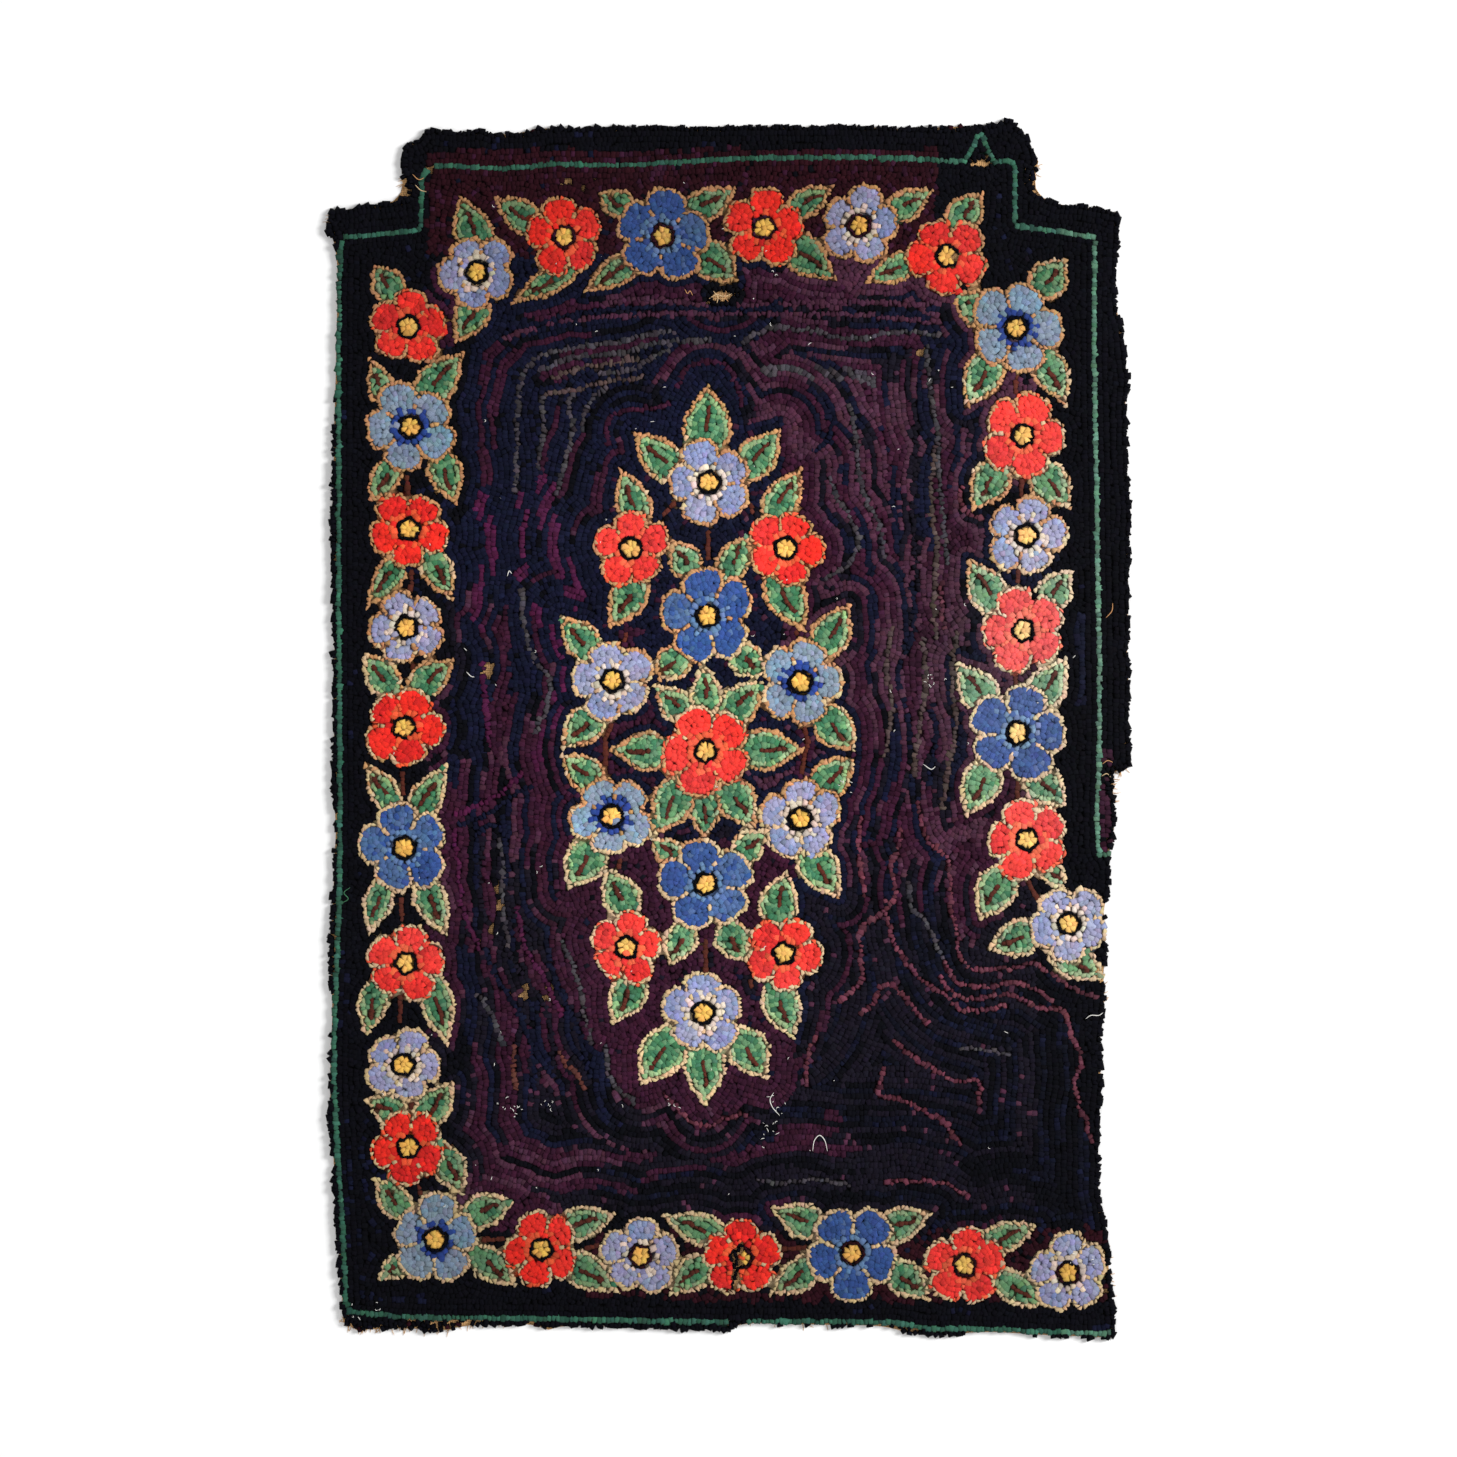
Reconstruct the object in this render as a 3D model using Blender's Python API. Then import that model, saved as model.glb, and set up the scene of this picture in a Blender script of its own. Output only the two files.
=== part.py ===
"""Hand-hooked rug lying flat on the floor, face up.

Two pieces, as a maker works them: a burlap foundation cut to the rug's outline with its hem
turned under, and the pile of wool loops pulled up through it, packed into one uneven slab. The
upper corners are stepped, the lower right edge is torn back, and the pile is worn off in places.

Metres, +Z up, +Y towards the end with the stepped corners. The origin is on the floor, in the
middle of the outline's bounding box.
"""

import math
from collections import namedtuple

import bpy
import numpy as np
from mathutils import Vector, noise
from mathutils.geometry import delaunay_2d_cdt

MM = 0.001

# Thickness, from the floor up
FOUNDATION_THICKNESS = 2.0 * MM
SEAT_GAP = 0.3 * MM
PILE_HEIGHT = 6.4 * MM
RIM_DROP = 2.2 * MM
RIM_WIDTH = 7.0 * MM
RIM_HALF_WIDTH = 2.8 * MM

# Unevenness of the walked-on pile: swell height and length, coarse and fine
SWELLS = ((0.8 * MM, 130 * MM), (0.35 * MM, 45 * MM))

# Spacing of the points that carry the shape
EDGE_STEP = 13 * MM
TOP_STEP = 26 * MM
EDGE_WOBBLE = 0.9 * MM
EDGE_WOBBLE_LENGTH = 24 * MM

FOUNDATION_SETBACK = 1.6 * MM

Point = namedtuple("Point", "across up")
Worn = namedtuple("Worn", "across up reach depth")
Patch = namedtuple("Patch", "across up half_width half_height turn")

# The outline in millimetres, across and up from the middle of the rug, clockwise side by side
TOP_SIDE = [
    Point(-375, 676), Point(-360, 681), Point(-347, 694), Point(-332, 691), Point(-302, 689),
    Point(-288, 694), Point(-276, 688), Point(-236, 689), Point(-222, 694), Point(-100, 696),
    Point(60, 697), Point(160, 697), Point(205, 694), Point(240, 695), Point(308, 699),
    Point(317, 705), Point(326, 701),
]
UPPER_RIGHT_STEP = [
    Point(343, 683), Point(355, 656), Point(351, 638), Point(348, 621), Point(380, 606),
    Point(404, 606), Point(448, 598),
]
RIGHT_SIDE = [
    Point(446, 556), Point(444, 516), Point(446, 482), Point(452, 468), Point(455, 436),
    Point(459, 404), Point(456, 372), Point(458, 300), Point(462, 254), Point(459, 180),
    Point(460, 104), Point(457, 92), Point(461, 68), Point(459, 10), Point(461, -42),
]
TORN_SIDE = [
    Point(441, -48), Point(443, -78), Point(444, -112), Point(438, -140), Point(437, -178),
    Point(432, -208), Point(434, -250), Point(431, -302), Point(427, -362), Point(429, -408),
    Point(424, -448), Point(426, -498), Point(424, -530), Point(432, -566), Point(437, -604),
    Point(440, -646), Point(444, -680), Point(443, -700),
]
BOTTOM_SIDE = [
    Point(402, -699), Point(344, -696), Point(298, -693), Point(240, -697), Point(206, -693),
    Point(180, -686), Point(60, -685), Point(9, -683), Point(0, -692), Point(-44, -690),
    Point(-140, -686), Point(-190, -686), Point(-209, -690), Point(-232, -683), Point(-308, -684),
    Point(-322, -690), Point(-346, -691), Point(-370, -687), Point(-430, -690), Point(-446, -680),
]
LEFT_SIDE = [
    Point(-448, -660), Point(-451, -616), Point(-455, -556), Point(-458, -492), Point(-462, -452),
    Point(-462, -392), Point(-459, -326), Point(-462, -256), Point(-459, -196), Point(-455, -116),
    Point(-458, -60), Point(-457, 40), Point(-457, 120), Point(-460, 220), Point(-458, 310),
    Point(-455, 436), Point(-453, 528), Point(-456, 566),
]
UPPER_LEFT_STEP = [
    Point(-465, 579), Point(-459, 600), Point(-436, 601), Point(-424, 607), Point(-386, 608),
    Point(-372, 617), Point(-378, 634), Point(-377, 658),
]
OUTLINE = [
    *TOP_SIDE, *UPPER_RIGHT_STEP, *RIGHT_SIDE, *TORN_SIDE, *BOTTOM_SIDE, *LEFT_SIDE,
    *UPPER_LEFT_STEP,
]

# Stretches of edge where loops are gone and the foundation shows past the pile, in millimetres
WORN_EDGES = [
    Worn(-335, -690, 62, 9.0),
    Worn(-418, -690, 34, 6.5),
    Worn(-209, -690, 18, 5.0),
    Worn(-373, 626, 17, 9.0),
    Worn(351, 641, 17, 8.0),
    Worn(252, 697, 26, 3.0),
    Worn(-224, 694, 16, 3.5),
    Worn(206, -693, 20, 3.5),
    Worn(440, -56, 18, 5.0),
]

# Places within the pile where the loops are gone down to the foundation, in millimetres
BARE_PATCHES = [
    Patch(-8, 501, 14, 5.0, 4),
    Patch(289, 654, 11, 4.0, 0),
    Patch(7, -616, 4.0, 27, -8),
]
PATCH_POINTS = 18
PATCH_RAGGEDNESS = 0.22

BURLAP = {"colour": (0.55, 0.38, 0.20, 1.0), "roughness": 0.92}
WOOL = {"colour": (0.028, 0.020, 0.040, 1.0), "roughness": 0.88}


def clear_scene():
    for item in list(bpy.data.objects):
        bpy.data.objects.remove(item, do_unlink=True)


def make_material(name, look):
    material = bpy.data.materials.new(name)
    material.use_nodes = True
    shader = material.node_tree.nodes["Principled BSDF"]
    shader.inputs["Base Color"].default_value = look["colour"]
    shader.inputs["Roughness"].default_value = look["roughness"]
    shader.inputs["Metallic"].default_value = 0.0
    return material


def closed_pairs(loop):
    """Each point of a closed loop with the next one."""
    return zip(loop, [*loop[1:], loop[0]])


def refined(loop, step):
    """The loop with its long stretches divided evenly into steps."""
    points = []
    for start, end in closed_pairs(loop):
        parts = max(1, round((end - start).length / step))
        points += [start.lerp(end, part / parts) for part in range(parts)]
    return points


def outward_normals(loop):
    """Unit normals of a clockwise loop, pointing out of it."""
    normals = []
    for before, after in zip([loop[-1], *loop[:-1]], [*loop[1:], loop[0]]):
        along = (after - before).normalized()
        normals.append(Vector((-along.y, along.x)))
    return normals


def shifted(loop, amounts):
    """The loop with each point moved outwards by its own amount."""
    return [p + n * a for p, n, a in zip(loop, outward_normals(loop), amounts)]


def rug_edge():
    """The rug's edge as seen from above: the outline with the slight wobble of its loops."""
    corners = [Vector((p.across, p.up)) * MM for p in OUTLINE]
    loop = refined(corners, EDGE_STEP)
    wobble = [noise.noise(p.to_3d() / EDGE_WOBBLE_LENGTH) * EDGE_WOBBLE for p in loop]
    loop = shifted(loop, wobble)
    low = Vector((min(p.x for p in loop), min(p.y for p in loop)))
    high = Vector((max(p.x for p in loop), max(p.y for p in loop)))
    middle = (low + high) / 2
    return [p - middle for p in loop], middle


def worn_depths(loop, middle):
    """How far the pile has worn back from the edge at each point."""
    depths = []
    for p in loop:
        depth = 0.0
        for worn in WORN_EDGES:
            centre = Vector((worn.across, worn.up)) * MM - middle
            share = 1 - (p - centre).length / (worn.reach * MM)
            if share > 0:
                depth = max(depth, worn.depth * MM * math.sin(share * math.pi / 2))
        depths.append(depth)
    return depths


def patch_loop(patch, middle):
    """A ragged oval round a bare patch, anticlockwise."""
    centre = Vector((patch.across, patch.up)) * MM - middle
    turn = math.radians(patch.turn)
    points = []
    for index in range(PATCH_POINTS):
        angle = 2 * math.pi * index / PATCH_POINTS
        across = math.cos(angle) * patch.half_width * MM
        up = math.sin(angle) * patch.half_height * MM
        spot = Vector((across, up)) + centre
        ragged = 1 + PATCH_RAGGEDNESS * noise.noise(spot.to_3d() / (5 * MM))
        across, up = across * ragged, up * ragged
        points.append(
            centre
            + Vector((
                across * math.cos(turn) - up * math.sin(turn),
                across * math.sin(turn) + up * math.cos(turn),
            ))
        )
    return points


def edge_distances(points, loops):
    """Distance of each point from the nearest stretch of any loop."""
    nearest = np.full(len(points), np.inf)
    for loop in loops:
        starts = np.array([tuple(p) for p in loop])
        along = np.roll(starts, -1, axis=0) - starts
        lengths = (along**2).sum(axis=1)
        for start, way, length in zip(starts, along, lengths):
            share = np.clip(((points - start) @ way) / length, 0, 1)
            gap = np.linalg.norm(points - start - share[:, None] * way, axis=1)
            nearest = np.minimum(nearest, gap)
    return nearest


def inside(point, loop):
    """Whether a point lies inside a loop, by counting the edges crossed on the way out."""
    crossed = False
    for a, b in closed_pairs(loop):
        if (a.y > point.y) != (b.y > point.y):
            if point.x < a.x + (point.y - a.y) * (b.x - a.x) / (b.y - a.y):
                crossed = not crossed
    return crossed


def filled(loops, extra=()):
    """Triangles, anticlockwise, that fill the first loop less the others, and their points."""
    points, edges = [], []
    for loop in loops:
        first = len(points)
        points += loop
        count = len(loop)
        edges += [(first + i, first + (i + 1) % count) for i in range(count)]
    points += list(extra)
    in_millimetres = [p / MM for p in points]
    made, _, faces, _, _, _ = delaunay_2d_cdt(in_millimetres, edges, [], 0, 1e-4)
    if len(made) != len(points):
        raise ValueError("the loops cross each other")
    kept = []
    for face in faces:
        centre = sum((points[i] for i in face), Vector((0, 0))) / len(face)
        if inside(centre, loops[0]) and not any(inside(centre, hole) for hole in loops[1:]):
            kept.append(face)
    return points, kept


def solid_sheet(name, loops, extra, top_height, floor, material):
    """A closed sheet: an upper face over all points, a plain flat lower face, and its rims."""
    points, upper = filled(loops, extra)
    rim_count = sum(len(loop) for loop in loops)
    _, lower = filled(loops)
    heights = top_height(points, loops)
    verts = [(p.x, p.y, z) for p, z in zip(points, heights)]
    below = len(verts)
    verts += [(p.x, p.y, floor) for p in points[:rim_count]]
    faces = [tuple(face) for face in upper]
    faces += [tuple(below + i for i in reversed(face)) for face in lower]
    rim_edges = {(face[i], face[(i + 1) % 3]) for face in upper for i in range(3)}
    for a, b in rim_edges:
        if (b, a) not in rim_edges:
            faces.append((b, a, below + a, below + b))
    mesh = bpy.data.meshes.new(name)
    mesh.from_pydata(verts, [], faces)
    mesh.materials.append(material)
    mesh.validate()
    mesh.shade_smooth()
    mesh.set_sharp_from_angle(angle=math.radians(40))
    sheet = bpy.data.objects.new(name, mesh)
    bpy.context.scene.collection.objects.link(sheet)
    return sheet


def inner_points(loops, step):
    """A staggered grid of points inside the loops, with a ring of closer ones along the rims."""
    xs = [p.x for p in loops[0]]
    ys = [p.y for p in loops[0]]
    grid = []
    row = 0
    up = min(ys)
    while up < max(ys):
        across = min(xs) + (step / 2 if row % 2 else 0)
        while across < max(xs):
            grid.append(Vector((across, up)))
            across += step
        up += step * math.sqrt(3) / 2
        row += 1
    ring = []
    for loop in loops:
        ring += shifted(loop, [-RIM_WIDTH] * len(loop))
        ring += shifted(loop, [-RIM_HALF_WIDTH] * len(loop))
    kept = []
    for group, clearance in ((ring, 0.8 * RIM_HALF_WIDTH), (grid, 1.5 * RIM_WIDTH)):
        gaps = edge_distances(np.array([tuple(p) for p in group]), loops)
        for p, gap in zip(group, gaps):
            in_sheet = inside(p, loops[0]) and not any(inside(p, hole) for hole in loops[1:])
            if gap > clearance and in_sheet:
                kept.append(p)
    return kept


def pile_heights(points, loops):
    """The pile's uneven top, rolled down at its rims."""
    gaps = edge_distances(np.array([tuple(p) for p in points]), loops)
    heights = []
    for p, gap in zip(points, gaps):
        swell = sum(size * noise.noise(p.to_3d() / length) for size, length in SWELLS)
        share = min(1.0, gap / RIM_WIDTH)
        roll = RIM_DROP * (1 - math.sqrt(1 - (1 - share) ** 2))
        heights.append(FOUNDATION_THICKNESS + SEAT_GAP + PILE_HEIGHT + swell - roll)
    return heights


def foundation_heights(points, _loops):
    return [FOUNDATION_THICKNESS] * len(points)


def build():
    clear_scene()
    edge, middle = rug_edge()
    worn = worn_depths(edge, middle)
    setback = [-FOUNDATION_SETBACK if depth == 0 else 0.0 for depth in worn]
    foundation_edge = shifted(edge, setback)
    solid_sheet(
        "foundation", [foundation_edge], [], foundation_heights, 0.0,
        make_material("burlap", BURLAP),
    )
    pile_edge = shifted(edge, [-depth for depth in worn])
    pile_loops = [pile_edge, *(patch_loop(patch, middle) for patch in BARE_PATCHES)]
    solid_sheet(
        "pile", pile_loops, inner_points(pile_loops, TOP_STEP), pile_heights,
        FOUNDATION_THICKNESS + SEAT_GAP, make_material("wool_loops", WOOL),
    )


build()
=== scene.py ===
"""Looks of the hand-hooked rug: its wool loops one by one, and the burlap they are pulled through.

The pattern is worked as a rug hooker works it. First come the guide rows: outlines of flowers and
leaves, flower hearts, veins, stems, the border line and the row along the rug's edge. Then the
ground and every motif are filled with rows that echo the nearest guide row, one row's width apart.
Each loop takes its colour from the motif or the part of the ground in which it stands.

Tables are in millimetres, across and up from the point that part.py measures its outline from.
Everything after the tables is in millimetres in the row frame, and meshes are made in metres.
"""

import math
from collections import namedtuple

import bpy
import numpy as np
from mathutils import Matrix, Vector, noise


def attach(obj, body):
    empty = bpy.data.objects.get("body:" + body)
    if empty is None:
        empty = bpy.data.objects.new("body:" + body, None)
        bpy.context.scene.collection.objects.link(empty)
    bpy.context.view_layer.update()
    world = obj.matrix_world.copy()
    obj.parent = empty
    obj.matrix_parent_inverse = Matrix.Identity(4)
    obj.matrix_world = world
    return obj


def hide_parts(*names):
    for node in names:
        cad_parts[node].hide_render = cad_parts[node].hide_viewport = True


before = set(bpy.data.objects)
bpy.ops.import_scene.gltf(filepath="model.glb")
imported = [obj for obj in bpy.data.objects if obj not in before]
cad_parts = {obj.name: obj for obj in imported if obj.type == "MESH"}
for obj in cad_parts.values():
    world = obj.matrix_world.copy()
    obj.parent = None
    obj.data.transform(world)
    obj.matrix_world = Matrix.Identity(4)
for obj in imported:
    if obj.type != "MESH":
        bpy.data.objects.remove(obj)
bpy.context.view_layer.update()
RANDOM = np.random.default_rng(41)
MM = 0.001

# The middle of part.py's outline, which lies on the row frame's origin
TABLE_MIDDLE = np.array([-1.58, 2.75])

# Hooking: distance between rows, between loops in a row, and the size of one loop
ROW = 6.5
STITCH = 5.0
LOOP_LENGTH = 7.2
LOOP_WIDTH = 8.9
FIRST_ROW = 5.8
LEAST_GAP = 4.1
HOLE_GAP = 4.7

# Heights above the floor
BURLAP_UNDER = 1.0
BURLAP_TOP = 2.0
PILE_TOP = 8.7
RIM_DROP = 2.2
RIM_WIDTH = 7.0
SWELLS = ((0.8, 130), (0.35, 45))

Flower = namedtuple("Flower", "kind across up reach turn")
Leaf = namedtuple("Leaf", "tip_across tip_up base_across base_up half_width")
Stem = namedtuple("Stem", "from_across from_up to_across to_up")

CENTRE_FLOWERS = [
    Flower("lilac", -24, 286, 50, 107), Flower("red", -114, 210, 45, 92),
    Flower("red", 64, 210, 45, 68), Flower("blue", -26, 133, 56, 100),
    Flower("lilac", -135, 58, 48, 104), Flower("slate", 81, 56, 50, 73),
    Flower("red", -28, -23, 53, 113), Flower("slate", -136, -98, 48, 118),
    Flower("lilac", 81, -101, 48, 92), Flower("blue", -28, -176, 55, 100),
    Flower("red", -119, -249, 43, 80), Flower("red", 62, -256, 45, 62),
    Flower("lilac", -31, -324, 48, 92),
]
BORDER_FLOWERS = [
    Flower("lilac", -291, 528, 45, 116), Flower("red", -191, 569, 46, 99),
    Flower("blue", -77, 570, 55, 82), Flower("red", 39, 579, 47, 85),
    Flower("lilac", 149, 582, 46, 78), Flower("red", 250, 546, 47, 116),
    Flower("slate", 329, 464, 54, 71), Flower("red", 337, 340, 50, 68),
    Flower("lilac", 341, 225, 47, 75), Flower("red", 337, 116, 50, 107),
    Flower("blue", 331, -2, 57, 76), Flower("red", 342, -125, 48, 107),
    Flower("lilac", 390, -222, 46, 122),
    Flower("red", -370, 465, 45, 84), Flower("slate", -368, 350, 53, 113),
    Flower("red", -370, 232, 46, 126), Flower("lilac", -372, 119, 44, 111),
    Flower("red", -375, 4, 47, 67), Flower("blue", -375, -134, 53, 103),
    Flower("red", -373, -267, 46, 80), Flower("lilac", -376, -384, 44, 70),
    Flower("red", -370, -479, 44, 118), Flower("slate", -339, -585, 52, 86),
    Flower("red", -217, -596, 45, 112), Flower("lilac", -103, -604, 46, 87),
    Flower("red", 13, -606, 46, 91), Flower("blue", 141, -600, 55, 124),
    Flower("red", 270, -615, 47, 85), Flower("lilac", 389, -623, 47, 95),
]
CENTRE_LEAVES = [
    Leaf(-26, 398, -26, 331, 24), Leaf(-111, 344, -63, 298, 20), Leaf(57, 347, 20, 301, 20),
    Leaf(-125, 302, -106, 247, 18), Leaf(-138, 120, -108, 168, 19), Leaf(82, 303, 50, 251, 18),
    Leaf(85, 116, 55, 172, 21), Leaf(-66, 219, -45, 185, 17), Leaf(21, 224, -3, 185, 17),
    Leaf(-83, 60, -58, 87, 18), Leaf(38, 63, 10, 89, 17), Leaf(-194, 132, -160, 92, 18),
    Leaf(-194, -19, -156, 18, 19), Leaf(136, 145, 108, 98, 20), Leaf(143, -23, 110, 16, 20),
    Leaf(-193, -27, -156, -58, 18), Leaf(-187, -181, -157, -134, 21),
    Leaf(142, -30, 104, -66, 20), Leaf(125, -192, 93, -143, 20),
    Leaf(-137, -21, -80, -24, 20), Leaf(85, -21, 22, -21, 21), Leaf(-28, 77, -28, 28, 16),
    Leaf(-85, 52, -52, 20, 17), Leaf(38, 58, 0, 20, 19), Leaf(-85, -118, -58, -66, 21),
    Leaf(27, -111, 0, -67, 20), Leaf(-30, -122, -29, -76, 17), Leaf(-90, -124, -60, -149, 15),
    Leaf(42, -115, 12, -141, 16), Leaf(-69, -268, -52, -230, 17), Leaf(17, -266, -3, -229, 18),
    Leaf(-144, -157, -117, -204, 19), Leaf(-136, -337, -109, -288, 19),
    Leaf(65, -163, 52, -213, 20), Leaf(73, -353, 54, -300, 20),
    Leaf(-103, -406, -67, -355, 23), Leaf(-29, -431, -30, -366, 21), Leaf(42, -399, 13, -355, 21),
]
BORDER_LEAVES = [
    Leaf(-310, 615, -290, 560, 20), Leaf(-270, 613, -225, 582, 17), Leaf(-250, 493, -186, 531, 14),
    Leaf(-315, 447, -290, 492, 18), Leaf(-151, 618, -118, 601, 15), Leaf(6, 624, -43, 597, 17),
    Leaf(-167, 507, -112, 540, 15), Leaf(9, 517, -33, 552, 20), Leaf(119, 627, 75, 600, 15),
    Leaf(121, 519, 70, 560, 20), Leaf(232, 622, 190, 598, 16), Leaf(291, 618, 261, 585, 18),
    Leaf(157, 517, 205, 540, 15), Leaf(258, 503, 298, 478, 20), Leaf(387, 543, 357, 508, 20),
    Leaf(271, 373, 300, 425, 20), Leaf(386, 375, 362, 430, 18),
    Leaf(279, 256, 308, 300, 20), Leaf(390, 257, 359, 297, 20), Leaf(274, 197, 306, 146, 20),
    Leaf(391, 185, 365, 148, 18), Leaf(262, 78, 296, 32, 20), Leaf(386, 83, 355, 36, 20),
    Leaf(271, -98, 297, -44, 20), Leaf(385, -86, 350, -50, 20), Leaf(287, -217, 314, -168, 21),
    Leaf(386, -180, 360, -152, 13), Leaf(296, -251, 348, -232, 19), Leaf(432, -285, 380, -255, 19),
    Leaf(-408, 535, -388, 504, 17), Leaf(-413, 427, -395, 380, 14), Leaf(-307, 435, -350, 388, 20),
    Leaf(-414, 264, -389, 304, 15), Leaf(-316, 262, -332, 312, 18), Leaf(-417, 141, -383, 193, 15),
    Leaf(-320, 151, -344, 201, 16), Leaf(-420, 88, -391, 50, 17), Leaf(-318, 82, -358, 50, 18),
    Leaf(-419, -37, -389, -83, 15), Leaf(-326, -39, -362, -98, 17),
    Leaf(-416, -233, -400, -180, 15), Leaf(-327, -236, -351, -178, 17),
    Leaf(-419, -349, -408, -298, 16), Leaf(-325, -362, -342, -292, 17),
    Leaf(-419, -424, -380, -440, 15), Leaf(-318, -404, -352, -446, 18),
    Leaf(-307, -534, -330, -487, 17), Leaf(-409, -515, -375, -552, 16),
    Leaf(-250, -541, -298, -556, 18), Leaf(-405, -631, -370, -606, 13),
    Leaf(-246, -637, -290, -603, 17), Leaf(-131, -555, -190, -572, 17),
    Leaf(-129, -644, -182, -612, 18), Leaf(-77, -558, -15, -580, 17), Leaf(-71, -648, -28, -612, 17),
    Leaf(48, -549, 100, -570, 18), Leaf(231, -554, 178, -575, 18), Leaf(46, -648, 95, -615, 17),
    Leaf(229, -654, 190, -620, 18), Leaf(354, -568, 300, -588, 16), Leaf(361, -662, 315, -632, 17),
]
STEMS = [
    Stem(-25, 236, -25, 196), Stem(-63, 263, -77, 248), Stem(22, 261, 27, 250),
    Stem(-119, 114, -122, 102), Stem(76, 114, 78, 106), Stem(-136, 8, -144, -12),
    Stem(-144, -12, -142, -50), Stem(82, 8, 90, -10), Stem(90, -10, 82, -50),
    Stem(-127, -147, -127, -158), Stem(-28, -240, -28, -278), Stem(22, -286, 25, -296),
    Stem(330, 414, 328, 388), Stem(335, 295, 335, 270), Stem(332, 190, 331, 166),
    Stem(330, 68, 327, 49), Stem(331, -58, 330, -77), Stem(342, -172, 354, -194),
    Stem(-371, 294, -371, 271), Stem(-366, 185, -367, 162), Stem(-365, 77, -365, 50),
    Stem(-377, -41, -376, -85), Stem(-378, -182, -377, -219), Stem(-379, -305, -380, -335),
    Stem(-367, -424, -366, -438), Stem(-358, -522, -356, -540), Stem(-286, -585, -260, -584),
    Stem(-178, -597, -150, -592), Stem(60, -596, 92, -593),
]

# The green line a hand's breadth inside the edge, broken where the hooker left it off
BORDER_LINES = [
    [(-441, -668), (-360, -674), (-200, -676), (-100, -678), (-2, -680)],
    [(20, -679), (180, -680), (220, -686), (300, -688), (400, -692), (438, -692)],
    [(-441, -662), (-446, -560), (-455, -390), (-449, -180), (-449, 40), (-450, 205), (-449, 508),
     (-446, 564)],
    [(-444, 568), (-375, 574), (-355, 577)],
    [(-355, 580), (-355, 612), (-352, 642), (-334, 650), (-260, 647), (-200, 652), (-120, 651),
     (0, 658), (150, 660), (272, 655)],
    [(272, 657), (280, 672), (288, 686), (296, 672), (304, 656)],
    [(304, 655), (325, 654), (328, 630), (327, 585)],
    [(329, 581), (375, 575), (420, 568)],
    [(420, 563), (419, 450), (423, 200), (425, 26), (423, -128), (438, -141)],
]
BORDER_LINE_WIDTH = 7.4

# How far the rows echo the centre group at the lower right, where they echo the border instead
CENTRE_REACH = 34

# Small places where the loops are worn away down to the burlap
BareSpot = namedtuple("BareSpot", "across up half_width half_height")
BARE_SPOTS = [
    BareSpot(-278, 70, 3.5, 9), BareSpot(-236, -303, 5, 7), BareSpot(-266, -200, 4, 4.5),
    BareSpot(-270, -184, 3, 5), BareSpot(-275, -227, 4, 3.5), BareSpot(-210, -308, 3, 3.5),
    BareSpot(219, 437, 5, 3), BareSpot(258, 545, 3, 3.5), BareSpot(-186, 631, 2.5, 2),
    BareSpot(-166, 628, 3.5, 2), BareSpot(-345, 646, 3, 3),
]

# Loose bits on the pile: clumps of lint, then single threads by their points
LintClump = namedtuple("LintClump", "across up spread count")
LINT_CLUMPS = [
    LintClump(0, 20, 400, 95), LintClump(-256, -432, 12, 7), LintClump(-243, -434, 6, 5),
    LintClump(-211, -431, 6, 6), LintClump(44, -458, 9, 8), LintClump(52, -430, 12, 6),
    LintClump(230, 58, 9, 9), LintClump(133, -64, 7, 6), LintClump(-65, -425, 8, 5),
    LintClump(-98, -118, 8, 4), LintClump(405, -600, 14, 7), LintClump(-420, -668, 16, 9),
]
Thread = namedtuple("Thread", "yarn points")
THREADS = [
    Thread("lint", [(95, -483), (97, -471), (103, -465), (109, -471), (112, -483)]),
    Thread("lint", [(50, -416), (46, -424), (49, -433), (57, -442)]),
    Thread("lint", [(409, -331), (415, -327), (424, -327), (430, -323)]),
    Thread("lint", [(-303, 68), (-298, 63), (-294, 62)]),
    Thread("lint", [(-256, 178), (-254, 184), (-251, 181)]),
    Thread("tan", [(-52, 508), (-49, 503), (-46, 506), (-43, 501)]),
    Thread("green", [(-437, -180), (-444, -186), (-439, -193), (-447, -198)]),
    Thread("lint", [(222, -38), (231, -44), (236, -41)]),
    Thread("tan", [(432, 130), (439, 138), (440, 147)]),
    Thread("bisque", [(-24, 497), (-16, 502), (-7, 500), (2, 503)]),
    Thread("bisque", [(-19, 506), (-14, 499), (-15, 492)]),
    Thread("tan", [(-4, 506), (-6, 499), (-2, 494)]),
    Thread("tan", [(-365, 640), (-358, 634), (-352, 636)]),
    Thread("bisque", [(-362, 628), (-356, 622), (-349, 620)]),
    Thread("tan", [(428, -38), (434, -34), (440, -36)]),
    Thread("bisque", [(427, -52), (433, -49), (438, -53)]),
]

# Where the burlap's cut edge has frayed: a place near it, its reach each way and its threads
Fray = namedtuple("Fray", "across up reach count")
FRAYS = [
    Fray(-420, -683, 45, 30), Fray(-340, -686, 50, 26), Fray(-262, -686, 30, 10),
    Fray(427, -25, 16, 12), Fray(431, -60, 26, 12), Fray(-373, 626, 16, 9), Fray(351, 641, 16, 9),
    Fray(430, -320, 60, 9), Fray(80, -695, 60, 8), Fray(430, -600, 70, 9), Fray(-448, 585, 20, 6),
]

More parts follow.
